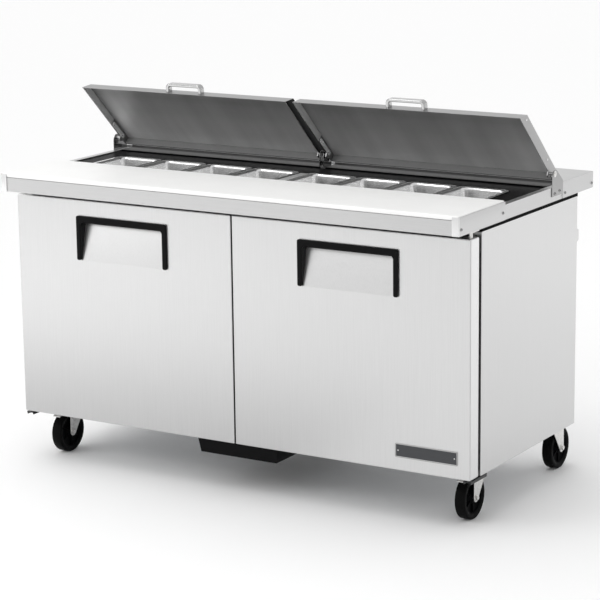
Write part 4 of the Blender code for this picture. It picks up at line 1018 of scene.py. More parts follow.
class PREPTABLE_OT_lid_pivots(bpy.types.Operator):
    """Makes the lids' pivot plates, hinge arms, bolts and rivets"""

    bl_idname = "preptable.lid_pivots"
    bl_label = "Lid pivots"
    # Distances from the middle of the inner faces of a lid's flanges and of the hinge arms' seats, with the
    # ways that they face, the arms' thickness, and a place just outside the plates
    flanges = ((0.748, -1), (0.014, 1))
    arm_faces = ((0.746, -1), (0.016, 1))
    arm_sheet = 0.0014
    outside = CAD_BOX[1].x + 0.0001

    def execute(self, context):
        for side, sign in SIDES.items():
            self.plate(side, sign)
            self.arms(side, sign)
            self.rivets(side, sign, context.scene.prep_sizes.rivet_head)
            self.end_cap(side, sign)
            self.bolt(side, sign)
        self.channel()
        return {"FINISHED"}

    def plate(self, side, sign):
        """The plate that carries a lid's outer end, with a bush for its bolt."""
        shoulder, bore, rim, thick = 0.900, 0.0062, 0.0092, 0.0012
        low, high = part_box(f"lid_bracket_{side}")
        outline = round_corners([
            (low.y, low.z, 0.001), (high.y, low.z, 0.001), (high.y, shoulder, 0.006),
            (PIVOT.y + 0.012, high.z, 0.012), (PIVOT.y - 0.006, high.z, 0.008),
            (low.y, PIVOT.z - 0.004, 0.010),
        ], steps=6)
        # The plate takes the darker polished steel: painted shade and reflection
        plate = slab("plate", outline, "X", low.x, high.x, "chrome", SHEET_EDGE)
        profile = [(bore, 0.0), (rim, 0.0), (rim, thick), (bore, thick)]
        bush = lathe("bush", profile, "X", PIVOT.yz, "zinc", closed=True)
        turned_out(bush, sign * self.outside, sign)
        made = joined(f"pivot_plate_{side}", [plate, bush])
        settle(made, "cabinet", "bright_steel", f"lid_bracket_{side}")

    def arms(self, side, sign):
        """The hinge arms and facings inside a lid, in the lid's own frame and then where it stands."""
        gap, sheet, fold, tail_start, tail_stop = 0.0002, 0.0010, 0.0003, 0.0168, 0.7452
        parts = []
        # Outlines in the lid's own frame: back from the pivot, and up from it
        base, top, rear = 0.0008, 0.0225, 0.0306
        lip_under, lip_back = -0.0005, 0.0341
        arm = bar_outline(-0.070, 0.0015, 0.009, 0.0150, 0.0060)
        for inset, inward in self.arm_faces:
            near, far = (sign * (inset + inward * depth) for depth in (gap, self.arm_sheet))
            parts.append(slab("arm", arm, "X", near, far, "arm", FINE_EDGE))
        # The facings take the lighter dull steel: painted light on the flanges' inner faces
        facing = [(-0.2645, base), (-0.0705, base), (-0.0705, top), (-0.2455, top)]
        for inset, inward in self.flanges:
            near, far = (sign * (inset + inward * depth) for depth in (gap, sheet))
            parts.append(slab("facing", facing, "X", near, far, "satin"))
        near, far = sign * tail_start, sign * tail_stop
        # The rear flange takes the darker dull steel: painted shade
        tail = bar_outline(rear, base, rear + sheet, top, fold)
        parts.append(slab("tail", tail, "X", near, far, "tail"))
        lip = bar_outline(rear, lip_under, lip_back, base, fold)
        parts.append(slab("lip", lip, "X", near, far, "rail"))
        settle(moved(joined(f"hinge_arms_{side}", parts), LID_PLACE), f"lid_{side}", "bright_steel")

    def rivets(self, side, sign, radius):
        """The rivets through a lid's hinge arms and through its outer flange."""
        arm_level, flange_face, flange_level = 0.0083, 0.750, 0.021
        heads = []
        for inset, inward in self.arm_faces:
            for along in (-0.061, -0.004):
                x = sign * (inset + inward * self.arm_sheet)
                heads.append(((x, along, arm_level), (sign * inward, 0, 0)))
        for along in (-0.232, -0.040):
            heads.append(((sign * flange_face, along, flange_level), (sign, 0, 0)))
        made = fasteners(f"lid_rivets_{side}", heads, radius, "bright", socketed=False)
        settle(moved(made, LID_PLACE), f"lid_{side}", "bright_steel")

    def end_cap(self, side, sign):
        """The plastic cap on a lid's inner end."""
        lid_end, gap, sheet = 0.012, 0.0001, 0.0009
        base, top, rear = 0.0008, 0.0332, 0.0332
        near, far = sign * (lid_end - gap), sign * (lid_end - sheet)
        outline = [(-0.2665, base), (rear, base), (rear, top), (-0.2385, top)]
        cap = slab(f"lid_end_cap_{side}", outline, "X", near, far, "plastic")
        settle(moved(cap, LID_PLACE), f"lid_{side}", "black_plastic")

    def bolt(self, side, sign):
        """The bolt through a plate's bush, which turns with the lid."""
        profile = [(0.0048, 0.0), (0.0066, 0.0006), (0.0066, 0.0016), (0.003, 0.0032)]
        bolt = lathe(f"pivot_bolt_{side}", profile, "X", PIVOT.yz, "zinc", 24)
        settle(turned_out(bolt, sign * self.outside, sign), f"lid_{side}", "zinc")

    def channel(self):
        """The channel between the lids that carries their inner ends."""
        lap, web_corner = 0.0001, 0.0005
        low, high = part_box("lid_bracket_centre")
        cheek = round_corners([
            (low.y, low.z, 0.001), (high.y, low.z, 0.001), (high.y, low.z + 0.014, 0.008),
            (PIVOT.y + 0.010, high.z, 0.010), (low.y, high.z, 0.010),
        ], steps=6)
        parts = []
        # The channel takes the darker polished steel: painted shade and reflection
        for sign in (-1, 1):
            near, far = sign * high.x, sign * (high.x - CHANNEL_SHEET)
            parts.append(slab("cheek", cheek, "X", near, far, "chrome", SHEET_EDGE))
        inset = CHANNEL_SHEET - lap
        web = bar_outline(low.x + inset, low.y, high.x - inset, high.y, web_corner)
        parts.append(slab("web", web, "Z", low.z, low.z + CHANNEL_SHEET, "chrome", FINE_EDGE))
        settle(joined("pivot_channel", parts), "cabinet", "bright_steel", "lid_bracket_centre")


class PREPTABLE_OT_breaker_strips(bpy.types.Operator):
    """Lays the steel facings on the rail behind the pans, with black strips down its front"""

    bl_idname = "preptable.breaker_strips"
    bl_label = "Rail behind the pans"

    def execute(self, context):
        well_back, inner, outer = 0.160, 0.0085, 0.7440
        sheet, gap, bend, proud = 0.0012, 0.0002, 0.0005, 0.0011
        toe, strip_corner = 0.001, 0.0003
        low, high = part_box("top_frame")
        deck_low, deck_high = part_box("rear_deck")
        front, back = well_back - gap, deck_low.y - 2 * gap
        top, upstand = high.z + gap, deck_high.z + proud
        strip = bar_outline(front - sheet, low.z + toe, front, top, strip_corner)
        cover = round_corners([
            (front - sheet, top, bend), (back, top, bend), (back, upstand, bend),
            (back - sheet, upstand, bend), (back - sheet, top + sheet, bend),
            (front - sheet, top + sheet, bend),
        ])
        for name, outline, look, slot in (
            ("breaker_strips", strip, "well", "black_plastic"),
            ("rail_facings", cover, "rail", "dark_liner"),
        ):
            halves = [slab("half", outline, "X", s * inner, s * outer, look) for s in SIDES.values()]
            settle(joined(name, halves), "cabinet", slot)
        return {"FINISHED"}


class PREPTABLE_OT_food_pans(bpy.types.Operator):
    """Presses the row of food pans with rolled rims and coved bottoms"""

    bl_idname = "preptable.food_pans"
    bl_label = "Food pans"

    def execute(self, context):
        corner = context.scene.prep_sizes.pan_corner
        wall, rim, taper, in_a_row = 0.0012, 0.011, 0.008, 4
        cove = rim + taper
        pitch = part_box("food_pan_2")[0].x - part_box("food_pan_1")[0].x
        rows = []
        for first in (1, 1 + in_a_row):
            low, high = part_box(f"food_pan_{first}")
            floor, top = low.z, high.z
            # Up the outside, round the rolled rim and down the inside, as inset and level
            profile = (
                (cove + 0.006, floor), (cove + 0.001, floor + 0.0020), (cove - 0.0005, floor + 0.008),
                (rim, top - 0.0034), (rim - 0.0006, top - 0.0020), (0.0012, top - 0.0020),
                (0.0003, top - 0.0016), (0.0, top - 0.0010), (0.0003, top - 0.0004), (0.0012, top),
                (rim - 0.003, top), (rim - 0.0006, top - 0.0006), (rim + 0.0006, top - 0.0024),
                (rim + wall, top - 0.008), (cove - 0.0005 + wall, floor + 0.010),
                (cove + 0.003, floor + 0.0046), (cove + 0.008, floor + 0.0016),
            )
            loops = inset_loops(profile, low, high, "Z", corner, shrink=0.35, least=0.006)
            pan = loft("pan", loops, "bright", sharp=50.0)
            rows.append(row("pans", pan, in_a_row, (pitch, 0.0, 0.0), "bright"))
        pans = joined("pressed_food_pans", rows)
        settle(pans, "cabinet", "bright_steel", *(f"food_pan_{number}" for number in range(1, 9)))
        return {"FINISHED"}


class PREPTABLE_OT_screws(bpy.types.Operator):
    """Sets the screws on the rails, deck, pivot plates and rear"""

    bl_idname = "preptable.screws"
    bl_label = "Screws"

    def execute(self, context):
        heads = []
        on_rails = ((-0.4173, 0.863), (-0.169, 0.867), (0.233, 0.860), (0.418, 0.860))
        on_plates = ((0.1638, 0.868), (0.196, 0.872))
        for sign in SIDES.values():
            for y, z in (*on_rails, *on_plates):
                heads.append(((sign * CAD_BOX[1].x, y, z), (sign, 0, 0)))

        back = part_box("back_panel")[1].y
        rear = [(x, back, z) for x in (-0.70, -0.42, 0.42, 0.70) for z in (0.215, 0.800)]
        rear += [(x, back, 0.800) for x in (-0.14, 0.14)]
        low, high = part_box("rear_grille")
        side_inset, inset = 0.010, 0.009
        for x in (low.x + side_inset, 0.0, high.x - side_inset):
            rear += [(x, high.y, z) for z in (low.z + inset, high.z - inset)]
        inset = 0.012
        for side in SIDES:
            low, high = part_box(f"rear_bumper_{side}")
            rear += [(x, high.y, (low.z + high.z) / 2) for x in (low.x + inset, high.x - inset)]
        heads += [(place, (0, 1, 0)) for place in rear]

        inset = 0.014
        low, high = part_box("evaporator_cover")
        for x in (low.x + inset, high.x - inset):
            heads += [((x, low.y, z), (0, -1, 0)) for z in (low.z + inset, high.z - inset)]
        channel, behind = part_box("lid_bracket_centre")[0], 0.036
        heads.append(((0.0, channel.y + behind, channel.z + CHANNEL_SHEET), UP))
        for side in SIDES:
            low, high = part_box(f"hinge_bottom_{side}")
            for inset in (0.012, 0.030):
                heads.append((((low.x + high.x) / 2, high.y - inset, low.z), -UP))
        # The heads take the darker polished steel: painted shade on the screw heads
        screws = fasteners("table_screws", heads, context.scene.prep_sizes.screw_head, "chrome")
        settle(screws, "cabinet", "zinc")
        return {"FINISHED"}


class PREPTABLE_OT_casters(bpy.types.Operator):
    """Makes the swivel forks, wheels and brake pedals"""

    bl_idname = "preptable.casters"
    bl_label = "Casters"

    def execute(self, context):
        for corner in CORNERS:
            place, axle = JOINTS[f"swivel_{corner}_turn"], JOINTS[f"wheel_{corner}_roll"]
            trail = 1 if axle.y > place.y else -1
            self.fork(corner, place, axle, trail)
            self.wheel(corner, axle)
            if corner.startswith("front"):
                self.pedal(corner, trail)
        return {"FINISHED"}

    def fork(self, corner, place, axle, trail):
        """A pressed fork with its crown, ball race, king pin, axle and nuts."""
        top, under, race_top, stem_top = 0.135, 0.131, 0.1467, 0.1847
        inside, outside, heel, crown_end = 0.0185, 0.0215, -0.0235, 0.040
        cheek_edge, crown_lap, crown_corner, crown_gap = 0.0008, 0.0005, 0.002, 0.0001
        washer_face, axle_radius, axle_half = 0.0224, 0.0039, 0.0220
        ear = 0.068 if corner.startswith("front") else 0.046
        outline = round_corners([
            (heel, top, 0.003), (heel, under - 0.008, 0.010),
            (0.021, axle.z - 0.004, 0.014), (0.027, axle.z - 0.013, 0.012),
            (0.041, axle.z - 0.013, 0.012), (0.047, axle.z - 0.004, 0.014),
            (0.046, under - 0.010, 0.006), (ear, under - 0.004, 0.004), (ear, top, 0.003),
        ], steps=5)
        outline = [(place.y + trail * y, z) for y, z in outline]
        parts = []
        for start, stop in ((-outside, -inside), (inside, outside)):
            near, far = place.x + start, place.x + stop
            parts.append(slab("cheek", outline, "X", near, far, "zinc", cheek_edge))
        half = inside + crown_lap
        near, far = sorted(place.y + trail * y for y in (heel, crown_end))
        crown = bar_outline(place.x - half, near, place.x + half, far, crown_corner)
        parts.append(slab("crown", crown, "Z", under, top - crown_gap, "zinc", SHEET_EDGE))
        parts.append(lathe("race", [
            (0.0190, top - 0.0004), (0.0236, top), (0.0240, top + 0.0030), (0.0222, top + 0.0046),
            (0.0214, top + 0.0056), (0.0228, top + 0.0066), (0.0236, top + 0.0080),
            (0.0230, race_top - 0.0012), (0.0200, race_top), (0.0060, race_top), (0.0058, stem_top),
        ], "Z", place.xy, "zinc", 36))
        pin = [(0.0080, under), (0.0080, under - 0.0012), (0.0052, under - 0.0026)]
        parts.append(lathe("king_pin", pin, "Z", place.xy, "zinc", 20))
        washer = [(0.0105, outside), (0.0105, washer_face), (0.0072, washer_face)]
        nut = [(0.0074, washer_face), (0.0074, 0.0262), (0.0062, 0.0274), (0.0030, 0.0276)]
        for sign in (-1, 1):
            for name, profile, steps in (("washer", washer, 24), ("nut", nut, 6)):
                part = lathe(name, profile, "X", axle.yz, "zinc", steps)
                parts.append(turned_out(part, place.x, sign))
        rod = [(axle_radius, place.x - axle_half), (axle_radius, place.x + axle_half)]
        parts.append(lathe("axle", rod, "X", axle.yz, "zinc", 16))
        fork = joined(f"pressed_fork_{corner}", parts)
        settle(fork, f"swivel_{corner}", "zinc", f"caster_fork_{corner}")

    def wheel(self, corner, axle):
        """A wheel with a rubber tyre, a ribbed core and a bush, made at the origin."""
        centre = (0.0, 0.0)
        tread = [
            (0.0480, -0.0125), (0.0500, -0.0146), (0.0530, -0.0158), (0.0590, -0.0160), (0.0615, -0.0155),
            (0.0628, -0.0145), (0.0634, -0.0130), (0.0635, 0.0),
        ]
        tread += [(radius, -along) for radius, along in reversed(tread[:-1])]
        core = [
            (0.0046, -0.0144), (0.0130, -0.0144), (0.0150, -0.0132), (0.0165, -0.0092), (0.0200, -0.0062),
            (0.0400, -0.0062), (0.0440, -0.0088), (0.0455, -0.0128), (0.0490, -0.0136),
        ]
        core += [(radius, -along) for radius, along in reversed(core)]
        bore, shell, half = 0.0045, 0.0075, 0.0150
        bush = [(bore, -half), (shell, -half), (shell, half), (bore, half)]
        parts = [
            lathe("tyre", tread, "X", centre, "rubber", 56, closed=True),
            lathe("core", core, "X", centre, "well", 48, closed=True),
            lathe("bush", bush, "X", centre, "zinc", 24, closed=True),
        ]
        rib_half, rib_start, rib_stop, rib_corner, rib_edge = 0.0015, 0.0150, 0.0450, 0.0006, 0.0005
        rib_root, rib_face, ribs = 0.0060, 0.0112, 6
        outline = bar_outline(-rib_half, rib_start, rib_half, rib_stop, rib_corner)
        for sign in (-1, 1):
            rib = slab("rib", outline, "X", sign * rib_root, sign * rib_face, "well", rib_edge, 1)
            parts.append(ring("ribs", rib, ribs, (1.0, 0.0, 0.0), "well"))
        made = moved(joined(f"rolling_wheel_{corner}", parts), Matrix.Translation(axle))
        settle(made, f"wheel_{corner}", "black_rubber", f"caster_wheel_{corner}")

    def pedal(self, corner, trail):
        """A brake pedal: a barrel on the fork's ears and a bent tab with grips, made at the origin."""
        lean, knee, tip, dip, bend = math.radians(20), 0.015, 0.0258, 0.0005, 0.010
        wide, thick, tab_corner = 0.0128, 0.0016, 0.0010
        grip_wide, grip_thick, grip_corner = 0.0105, 0.0008, 0.0007
        grip_root, grip_top, grip_count, grip_step = 0.0014, 0.0026, 3, 0.0042
        drop = math.tan(lean)
        profile = [(0.0028, -0.0182), (0.0039, -0.0178), (0.0039, 0.0178), (0.0028, 0.0182)]
        barrel = lathe("barrel", profile, "X", (0.0, 0.0), "zinc", 20)
        path = bent_path([
            ((0, 0, 0), 0.0), ((0, trail * knee, -knee * drop), bend),
            ((0, trail * tip, -tip * drop - dip), 0.0),
        ], steps=5)
        section = bar_outline(-wide, -thick, wide, thick, tab_corner)
        tab = swept("tab", path, section, Vector((1.0, 0.0, 0.0)), "zinc")
        outline = bar_outline(-grip_wide, -grip_thick, grip_wide, grip_thick, grip_corner)
        grip = slab("grip", outline, "Z", grip_root, grip_top, "zinc")
        moved(grip, Matrix.Rotation(-trail * lean, 4, "X") @ Matrix.Translation((0.0, trail * knee, 0.0)))
        grips = row("grips", grip, grip_count, (0.0, trail * grip_step, -grip_step * drop), "zinc")
        made = joined(f"brake_tab_{corner}", [barrel, tab, grips])
        moved(made, Matrix.Translation(JOINTS[f"pedal_{corner}_press"]))
        settle(made, f"pedal_{corner}", "zinc", f"brake_pedal_{corner}")


class PREPTABLE_OT_shelves(bpy.types.Operator):
    """Welds the wire shelves inside the cabinet"""

    bl_idname = "preptable.shelves"
    bl_label = "Wire shelves"

    def execute(self, context):
        size = context.scene.prep_sizes
        radius, count = size.wire_radius, size.shelf_wires
        edge, rod_radius, corner, first, rods, rod_inset = 0.0030, 0.0018, 0.012, 0.012, 3, 0.09
        parts = []
        for side in SIDES:
            low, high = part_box(f"shelf_{side}")
            left, right, front, rear = low.x + edge, high.x - edge, low.y + edge, high.y - edge
            profile = [(-out, low.z + edge + rise) for out, rise in circle(edge, 8)]
            loops = inset_loops(profile, (left, front), (right, rear), "Z", corner)
            parts.append(loft("border", loops, "wire", closed=True))
            x, top = low.x + first, high.z - radius
            wire = tube("wire", [((x, front, top), 0.0), ((x, rear, top), 0.0)], radius, "wire")
            step = (high.x - low.x - 2 * first) / (count - 1)
            parts.append(row("wires", wire, count, (step, 0.0, 0.0), "wire"))
            y, under = low.y + rod_inset, low.z + rod_radius
            rod = tube("rod", [((left, y, under), 0.0), ((right, y, under), 0.0)], rod_radius, "wire")
            step = (high.y - low.y - 2 * rod_inset) / (rods - 1)
            parts.append(row("rods", rod, rods, (0.0, step, 0.0), "wire"))
        settle(joined("wire_shelves", parts), "cabinet", "coated_wire", "shelf_left", "shelf_right")
        return {"FINISHED"}


class PREPTABLE_OT_machine(bpy.types.Operator):
    """Makes the compressor, condenser, tubes and the slatted rear grille"""

    bl_idname = "preptable.machine"
    bl_label = "Machine bay"
    # Thickness of the condenser's coil, and where its two rows of pipes lie in it
    coil_depth = 0.050
    pipe_rows = (0.015, 0.036)

    def execute(self, context):
        size = context.scene.prep_sizes
        self.grille(size.slats)
        self.compressor()
        self.condenser(size.fin_count)
        self.lines()
        return {"FINISHED"}

    def grille(self, slats):
        """The rear grille: a rounded rim round sloping slats."""
        border, side, corner = 0.020, 0.0185, 0.006
        low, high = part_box("rear_grille")
        front, back = low.y, high.y
        rim = [
            (0.0, front), (0.0, back - 0.0012), (0.0006, back - 0.0003), (0.0014, back),
            (0.0175, back), (0.0190, back - 0.0010), (0.0190, front),
        ]
        parts = [loft("rim", inset_loops(rim, low.xz, high.xz, "Y", corner), "enamel", closed=True)]
        pitch = (high.z - low.z - 2 * border) / slats
        first = low.z + border + pitch / 2
        blade = [
            (front + 0.0002, first - 0.0062), (front + 0.0012, first - 0.0066),
            (back - 0.0002, first + 0.0030), (back - 0.0002, first + 0.0040),
            (back - 0.0014, first + 0.0040), (front + 0.0002, first - 0.0050),
        ]
        slat = slab("slat", blade, "X", low.x + side, high.x - side, "enamel")
        parts.append(row("slats", slat, slats, (0.0, 0.0, pitch), "enamel"))
        settle(joined("slatted_grille", parts), "cabinet", "black_enamel", "rear_grille")

    def compressor(self):
        """The compressor: a drawn shell with a seam, on a foot with four grommets, and a terminal box."""
        low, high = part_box("compressor")
        x, y = (low.x + high.x) / 2, (low.y + high.y) / 2
        radius, height = (high.x - low.x) / 2, high.z - low.z
        # Shares of the radius and the height
        shell = [(0.82, 0.10), (0.86, 0.15), (0.86, 0.48), (0.89, 0.485), (0.89, 0.515), (0.86, 0.52)]
        shell += [(0.86, 0.68), (0.83, 0.78), (0.75, 0.87), (0.60, 0.94), (0.38, 0.985), (0.12, 1.0)]
        profile = [(radius * out, low.z + height * up) for out, up in shell]
        parts = [lathe("shell", profile, "Z", (x, y), "enamel", 48)]
        half, foot_corner = radius * 0.95, 0.018
        foot_under, foot_top = low.z + 0.011, low.z + 0.0145
        foot = bar_outline(x - half, y - half, x + half, y + half, foot_corner)
        parts.append(slab("foot", foot, "Z", foot_under, foot_top, "enamel", SHEET_EDGE))
        grommet = ((0.0090, 0.0), (0.0090, 0.004), (0.0070, 0.006), (0.0090, 0.008), (0.0086, 0.011))
        profile = [(out, low.z + up) for out, up in grommet]
        reach = radius * 0.80
        for place in ((x + across, y + along) for across in (-reach, reach) for along in (-reach, reach)):
            parts.append(lathe("grommet", profile, "Z", place, "rubber", 20))
        box_half, box_corner, box_edge = 0.024, 0.004, 0.0015
        box_under, box_top = low.z + 0.060, low.z + 0.118
        box = bar_outline(x - box_half, box_under, x + box_half, box_top, box_corner)
        near, far = y + radius * 0.82, y + radius * 0.98
        parts.append(slab("terminal_box", box, "Y", near, far, "plastic", box_edge))
        settle(joined("compressor_shell", parts), "cabinet", "black_enamel", "compressor")

    def condenser(self, count):
        """The condenser: fins and pipes between two end plates, with the fan's motor on two stays."""
        gap, fin_sheet, fin_corner, margin = 0.0045, 0.0004, 0.001, 0.002
        plate_sheet, plate_lip, plate_corner = 0.0016, 0.001, 0.002
        pipe_radius, pipe_end, pipes, pipe_pitch, lowest_pipe = 0.0047, 0.004, 6, 0.0225, 0.018
        low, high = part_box("condenser_coil")
        coil = high.x - self.coil_depth
        middle = (low + high) / 2
        outline = bar_outline(coil, low.z + margin, high.x, high.z - margin, fin_corner)
        fin = slab("fin", outline, "Y", low.y + gap, low.y + gap + fin_sheet, "fins")
        step = (high.y - low.y - 2 * gap - fin_sheet) / (count - 1)
        parts = [row("fins", fin, count, (0.0, step, 0.0), "fins")]
        end = bar_outline(coil - plate_lip, low.z, high.x, high.z, plate_corner)
        for y in (low.y, high.y - plate_sheet):
            parts.append(slab("end_plate", end, "Y", y, y + plate_sheet, "zinc", FINE_EDGE, 1))
        z = low.z + lowest_pipe
        for across in self.pipe_rows:
            ends = [((coil + across, y, z), 0.0) for y in (low.y + pipe_end, high.y - pipe_end)]
            pipe = tube("pipe", ends, pipe_radius, "copper")
            parts.append(row("pipes", pipe, pipes, (0.0, 0.0, pipe_pitch), "copper"))
        motor = ((0.012, 0.004), (0.020, 0.006), (0.022, 0.010), (0.022, 0.037), (0.018, 0.041))
        profile = [(radius, low.x + along) for radius, along in (*motor, (0.004, 0.043))]
        parts.append(lathe("motor", profile, "X", middle.yz, "enamel", 32))
        stay_radius, stay_inset, stay_depth, bend = 0.0030, 0.006, 0.004, 0.012
        root, stay = coil + stay_depth, low.x + stay_radius
        for y in (low.y + stay_inset, high.y - stay_inset):
            parts.append(tube("stay", [
                ((root, y, middle.z), 0.0), ((stay, y, middle.z), bend), ((stay, middle.y, middle.z), 0.0),
            ], stay_radius, "zinc"))
        settle(joined("finned_condenser", parts), "cabinet", "fins", "condenser_coil")

    def lines(self):
        """The refrigerant lines from the compressor to the condenser and along it."""
        shell_low, shell_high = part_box("compressor")
        low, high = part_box("condenser_coil")
        radius, bend, entry = 0.0032, 0.015, 0.010
        start = Vector((
            (shell_low.x + shell_high.x) / 2 + 0.040, (low.y + high.y) / 2 - 0.020, shell_high.z - 0.050,
        ))
        out, bottom = start.x + 0.045, low.z + 0.012
        discharge = tube("discharge_line", [
            (start, 0.0), ((out, start.y, start.z), bend), ((out, start.y, bottom), bend),
            ((high.x - self.coil_depth + self.pipe_rows[0], low.y + entry, bottom), 0.0),
        ], radius, "copper")
        radius, bend, clear = 0.0042, 0.012, 0.012
        start += Vector((0.0, 0.030, -0.010))
        out, level = start.x + 0.030, low.z + 0.170
        suction = tube("suction_line", [
            (start, 0.0), ((out, start.y, start.z), bend), ((out, start.y, level), bend),
            ((out, low.y - clear, level), 0.0),
        ], radius, "copper")
        settle(joined("refrigerant_lines", [discharge, suction]), "cabinet", "fins")


class PREPTABLE_OT_fans(bpy.types.Operator):
    """Makes the condenser fan, the evaporator fan and its guard"""

    bl_idname = "preptable.fans"
    bl_label = "Fans"

    def execute(self, context):
        blades = context.scene.prep_sizes.fan_blades
        self.fan("condenser_fan", "X", blades)
        self.fan("evaporator_fan", "Y", blades)
        self.guard()
        self.louvres()
        return {"FINISHED"}

    def fan(self, name, axis, count):
        """A fan with twisted blades on a hub, made at the origin."""
        low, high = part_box(name)
        half = (high - low)["XYZ".index(axis)] / 2
        root, reach, skin, stations = 0.016, 0.0455, 0.0005, 6
        # A blade is widest at this share of the way out, and flatter towards its tip
        widest, narrow, belly, steep, flatter = 0.625, 0.30, 0.16, 0.82, 0.18
        # Round a blade's section: shares of its spread and lean, and the side of its skin
        section = [(-1, -1, 1), (0, 0.06, 1), (1, 1, 1)]
        section += [(turn, level, -1) for turn, level, _ in reversed(section)]
        loops = []
        for station in range(stations):
            share = station / (stations - 1)
            radius = root + share * reach
            spread = narrow + belly * math.sin(math.pi / 2 * share / widest)
            lean = half * (steep - flatter * share)
            loops.append([
                on_axis(
                    axis, level * lean + side * skin, radius * math.cos(turn * spread),
                    radius * math.sin(turn * spread),
                ) for turn, level, side in section
            ])
        blade = loft("blade", loops, "plastic", sharp=60.0)
        blades = ring("blades", blade, count, on_axis(axis, 1.0, 0.0, 0.0), "plastic")
        barrel = ((0.0150, -1.0), (0.0185, -0.7), (0.0200, 0.0), (0.0185, 0.7), (0.0150, 1.0))
        profile = [(radius, half * share) for radius, share in barrel]
        hub = lathe("hub", profile, axis, (0.0, 0.0), "plastic", 32)
        fan = moved(joined(f"bladed_{name}", [blades, hub]), Matrix.Translation(JOINTS[f"{name}_spin"]))
        settle(fan, name, "black_plastic", name)

    def guard(self):
        """The wire guard in front of the evaporator fan."""
        wire, clear, spokes_back = 0.0014, 0.0024, 0.0015
        place = JOINTS["evaporator_fan_spin"]
        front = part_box("evaporator_cover")[0].y - clear
        parts = []
        for radius in (0.018, 0.034, 0.050, 0.066, 0.078):
            profile = [(radius + out, front + rise) for out, rise in circle(wire, 6)]
            parts.append(lathe("guard_ring", profile, "Y", place.xz, "wire", closed=True))
        ends = [((along, spokes_back, 0.0), 0.0) for along in (0.016, 0.080)]
        spoke = tube("spoke", ends, wire, "wire")
        spokes = ring("spokes", spoke, 4, (0.0, 1.0, 0.0), "wire")
        parts.append(moved(spokes, Matrix.Translation((place.x, front, place.z))))
        settle(joined("fan_guard", parts), "cabinet", "coated_wire")

    def louvres(self):
        """The rows of louvres on both sides of the evaporator cover."""
        near, far, lowest, tall, count, pitch = 0.125, 0.265, 0.040, 0.006, 9, 0.0165
        proud, gap, edge = 0.0022, 0.0001, 0.0008
        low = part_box("evaporator_cover")[0]
        level = low.z + lowest
        louvre = bar_outline(near, level, far, level + tall, tall / 2)
        vents = []
        for sign in (-1, 1):
            outline = [(sign * x, z) for x, z in louvre]
            vent = slab("vent", outline, "Y", low.y - proud, low.y - gap, "plastic", edge)
            vents.append(row("vents", vent, count, (0.0, 0.0, pitch), "plastic"))
        settle(joined("cover_louvres", vents), "cabinet", "black_plastic")


class PREPTABLE_OT_name_plate(bpy.types.Operator):
    """Fixes the bare name plate to the right door"""

    bl_idname = "preptable.name_plate"
    bl_label = "Bare plate"

    def execute(self, context):
        # Two corners of the plate, across the door and up from the floor
        low, high = Vector((0.531, 0.188)), Vector((0.727, 0.229))
        corner, inset, rivet_inset, rivet = 0.004, 0.002, 0.010, 0.0022
        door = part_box("door_right")[0].y
        base, face = door - 0.0001, door - 0.0009
        field = bar_outline(low.x + inset, low.y + inset, high.x - inset, high.y - inset, corner - inset)
        rim = [
            (0.0, base), (0.0, door - 0.0016), (0.0006, door - 0.0022), (0.0028, door - 0.0022),
            (0.0036, door - 0.0014), (0.0036, base),
        ]
        plate = joined("bare_plate", [
            slab("field", field, "Y", face, base, "plate"),
            loft("rim", inset_loops(rim, low, high, "Y", corner), "lid_steel", closed=True),
        ])
        settle(plate, "door_right", "bright_steel")
        middle = (low.y + high.y) / 2
        heads = [((x, face, middle), (0, -1, 0)) for x in (low.x + rivet_inset, high.x - rivet_inset)]
        rivets = fasteners("plate_rivets", heads, rivet, "bright", socketed=False)
        settle(rivets, "door_right", "bright_steel")
        return {"FINISHED"}


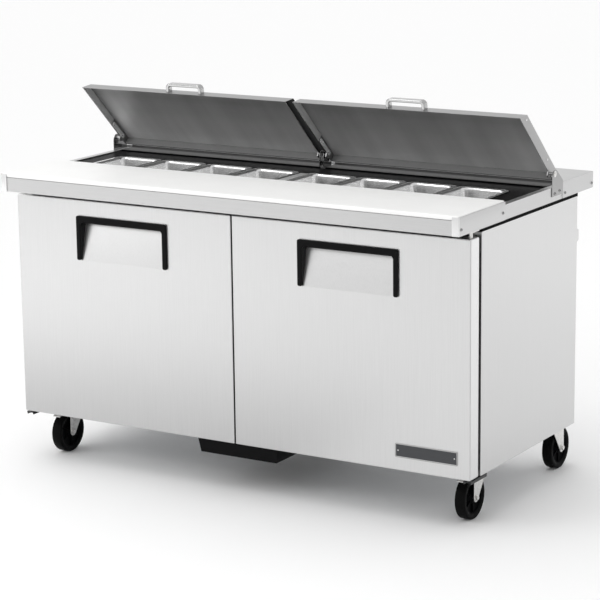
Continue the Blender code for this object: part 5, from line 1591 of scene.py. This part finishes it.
class PREPTABLE_OT_studio(bpy.types.Operator):
    """Sets up the floor, the soft light and the camera"""

    bl_idname = "preptable.studio"
    bl_label = "Studio"

    def execute(self, context):
        scene = context.scene
        studio = scene.prep_studio
        scene.view_settings.view_transform = "Standard"
        scene.world = bpy.data.worlds.new("studio_room")
        scene.world.use_nodes = True
        room = scene.world.node_tree.nodes["Background"]
        room.inputs["Color"].default_value = (1.0, 1.0, 1.0, 1.0)
        room.inputs["Strength"].default_value = studio.sky

        reach = 40.0
        # Satin vinyl sheet, pale and even, with a faint change of gloss every 400 mm
        vinyl = surface("pale_floor", linear("#fbfbfb"), (Pattern(0.4), 0.66, 0.74))
        self.sheet("floor", (-reach, -reach), (reach, reach), 0.0, vinyl)
        # Matt grey card on the floor, which only the steel reflects: a painted reflection of shade on the
        # floor in front, which darkens the lower doors
        shade_card_stock = surface("grey_card", linear("#d6d6d6"), roughness=0.8)
        card_low, card_high, card_level = (-1.9, -1.35), (0.05, -0.45), 0.002
        card = self.sheet("grey_card", card_low, card_high, card_level, shade_card_stock)
        card.visible_camera = False
        card.visible_diffuse = False
        card.visible_shadow = False

        far = 6.0
        for name, strength, spread, source in (
            ("key_light", studio.key, 70, Vector((-0.30, -0.10, 0.95))),
            ("rear_light", studio.rear, 30, Vector((-0.5, 0.85, 0.10))),
        ):
            lamp = self.lamp(name, "SUN", strength, source * far, -source)
            lamp.angle = math.radians(spread)
        right_pull = Vector((0.50, 0.73, -0.46))
        for name, power, side, place, aim in (
            ("front_soft_box", studio.pool, 1.2, (-2.6, -2.5, 1.6), -UP),
            ("side_soft_box", studio.pool_right, 1.2, (2.7, 3.6, 1.6), -UP),
            ("pull_soft_box", studio.pull, 1.0, (-1.37, -2.9, 2.33), right_pull),
        ):
            lamp = self.lamp(name, "AREA", power, place, aim)
            lamp.size = side

        view = bpy.data.cameras.new("camera")
        view.lens = studio.lens
        view.sensor_width = 36.0
        view.clip_end = 200.0
        scene.camera = stand("camera", view)
        scene.camera.matrix_world = (
            Matrix.Translation(studio.camera_place)
            @ Matrix.Rotation(studio.yaw, 4, "Z")
            @ Matrix.Rotation(math.pi / 2 - studio.pitch, 4, "X")
            @ Matrix.Rotation(studio.roll, 4, "Z")
        )
        return {"FINISHED"}

    def sheet(self, name, low, high, level, material):
        """A flat sheet that lies at a level."""
        mesh = bpy.data.meshes.new(name)
        corners = [(low[0], low[1]), (high[0], low[1]), (high[0], high[1]), (low[0], high[1])]
        mesh.from_pydata([(*corner, level) for corner in corners], [], [(0, 1, 2, 3)])
        mesh.materials.append(material)
        return stand(name, mesh)

    def lamp(self, name, kind, strength, place, aim):
        """The data of a lamp that stands at a place and shines along its aim."""
        data = bpy.data.lights.new(name, kind)
        data.energy = strength
        light = stand(name, data)
        light.location = place
        light.rotation_euler = aim.to_track_quat("-Z", "Y").to_euler()
        return data


OPERATORS = (
    PREPTABLE_OT_studio, PREPTABLE_OT_sheet_metal, PREPTABLE_OT_door_pulls, PREPTABLE_OT_door_seals,
    PREPTABLE_OT_hinges, PREPTABLE_OT_edges, PREPTABLE_OT_lid_handles, PREPTABLE_OT_lid_pivots,
    PREPTABLE_OT_breaker_strips, PREPTABLE_OT_food_pans, PREPTABLE_OT_screws, PREPTABLE_OT_casters,
    PREPTABLE_OT_shelves, PREPTABLE_OT_machine, PREPTABLE_OT_fans, PREPTABLE_OT_name_plate,
)
SETTINGS = {
    "prep_finishes": PrepTableFinishes, "prep_sizes": PrepTableSizes, "prep_studio": PrepTableStudio,
}


class PREPTABLE_PT_panel(bpy.types.Panel):
    """Lists the table's settings and operators"""

    bl_idname = "PREPTABLE_PT_panel"
    bl_label = "Prep Table"
    bl_space_type = "VIEW_3D"
    bl_region_type = "UI"
    bl_category = "Prep Table"

    def draw(self, context):
        for setting in SETTINGS:
            box = self.layout.box()
            group = getattr(context.scene, setting)
            for name in group.__annotations__:
                box.prop(group, name)
        for operator in OPERATORS:
            self.layout.operator(operator.bl_idname)


CLASSES = (*SETTINGS.values(), *OPERATORS, PREPTABLE_PT_panel)


def register():
    """Registers the settings, operators and panel."""
    for kind in CLASSES:
        bpy.utils.register_class(kind)
    for setting, group in SETTINGS.items():
        setattr(bpy.types.Scene, setting, PointerProperty(type=group))


def unregister():
    """Takes the settings, operators and panel out again."""
    for setting in SETTINGS:
        delattr(bpy.types.Scene, setting)
    for kind in reversed(CLASSES):
        bpy.utils.unregister_class(kind)


def main():
    """Dresses the table."""
    register()
    for operator in OPERATORS:
        group, name = operator.bl_idname.split(".")
        getattr(getattr(bpy.ops, group), name)()


if __name__ == "__main__":
    main()
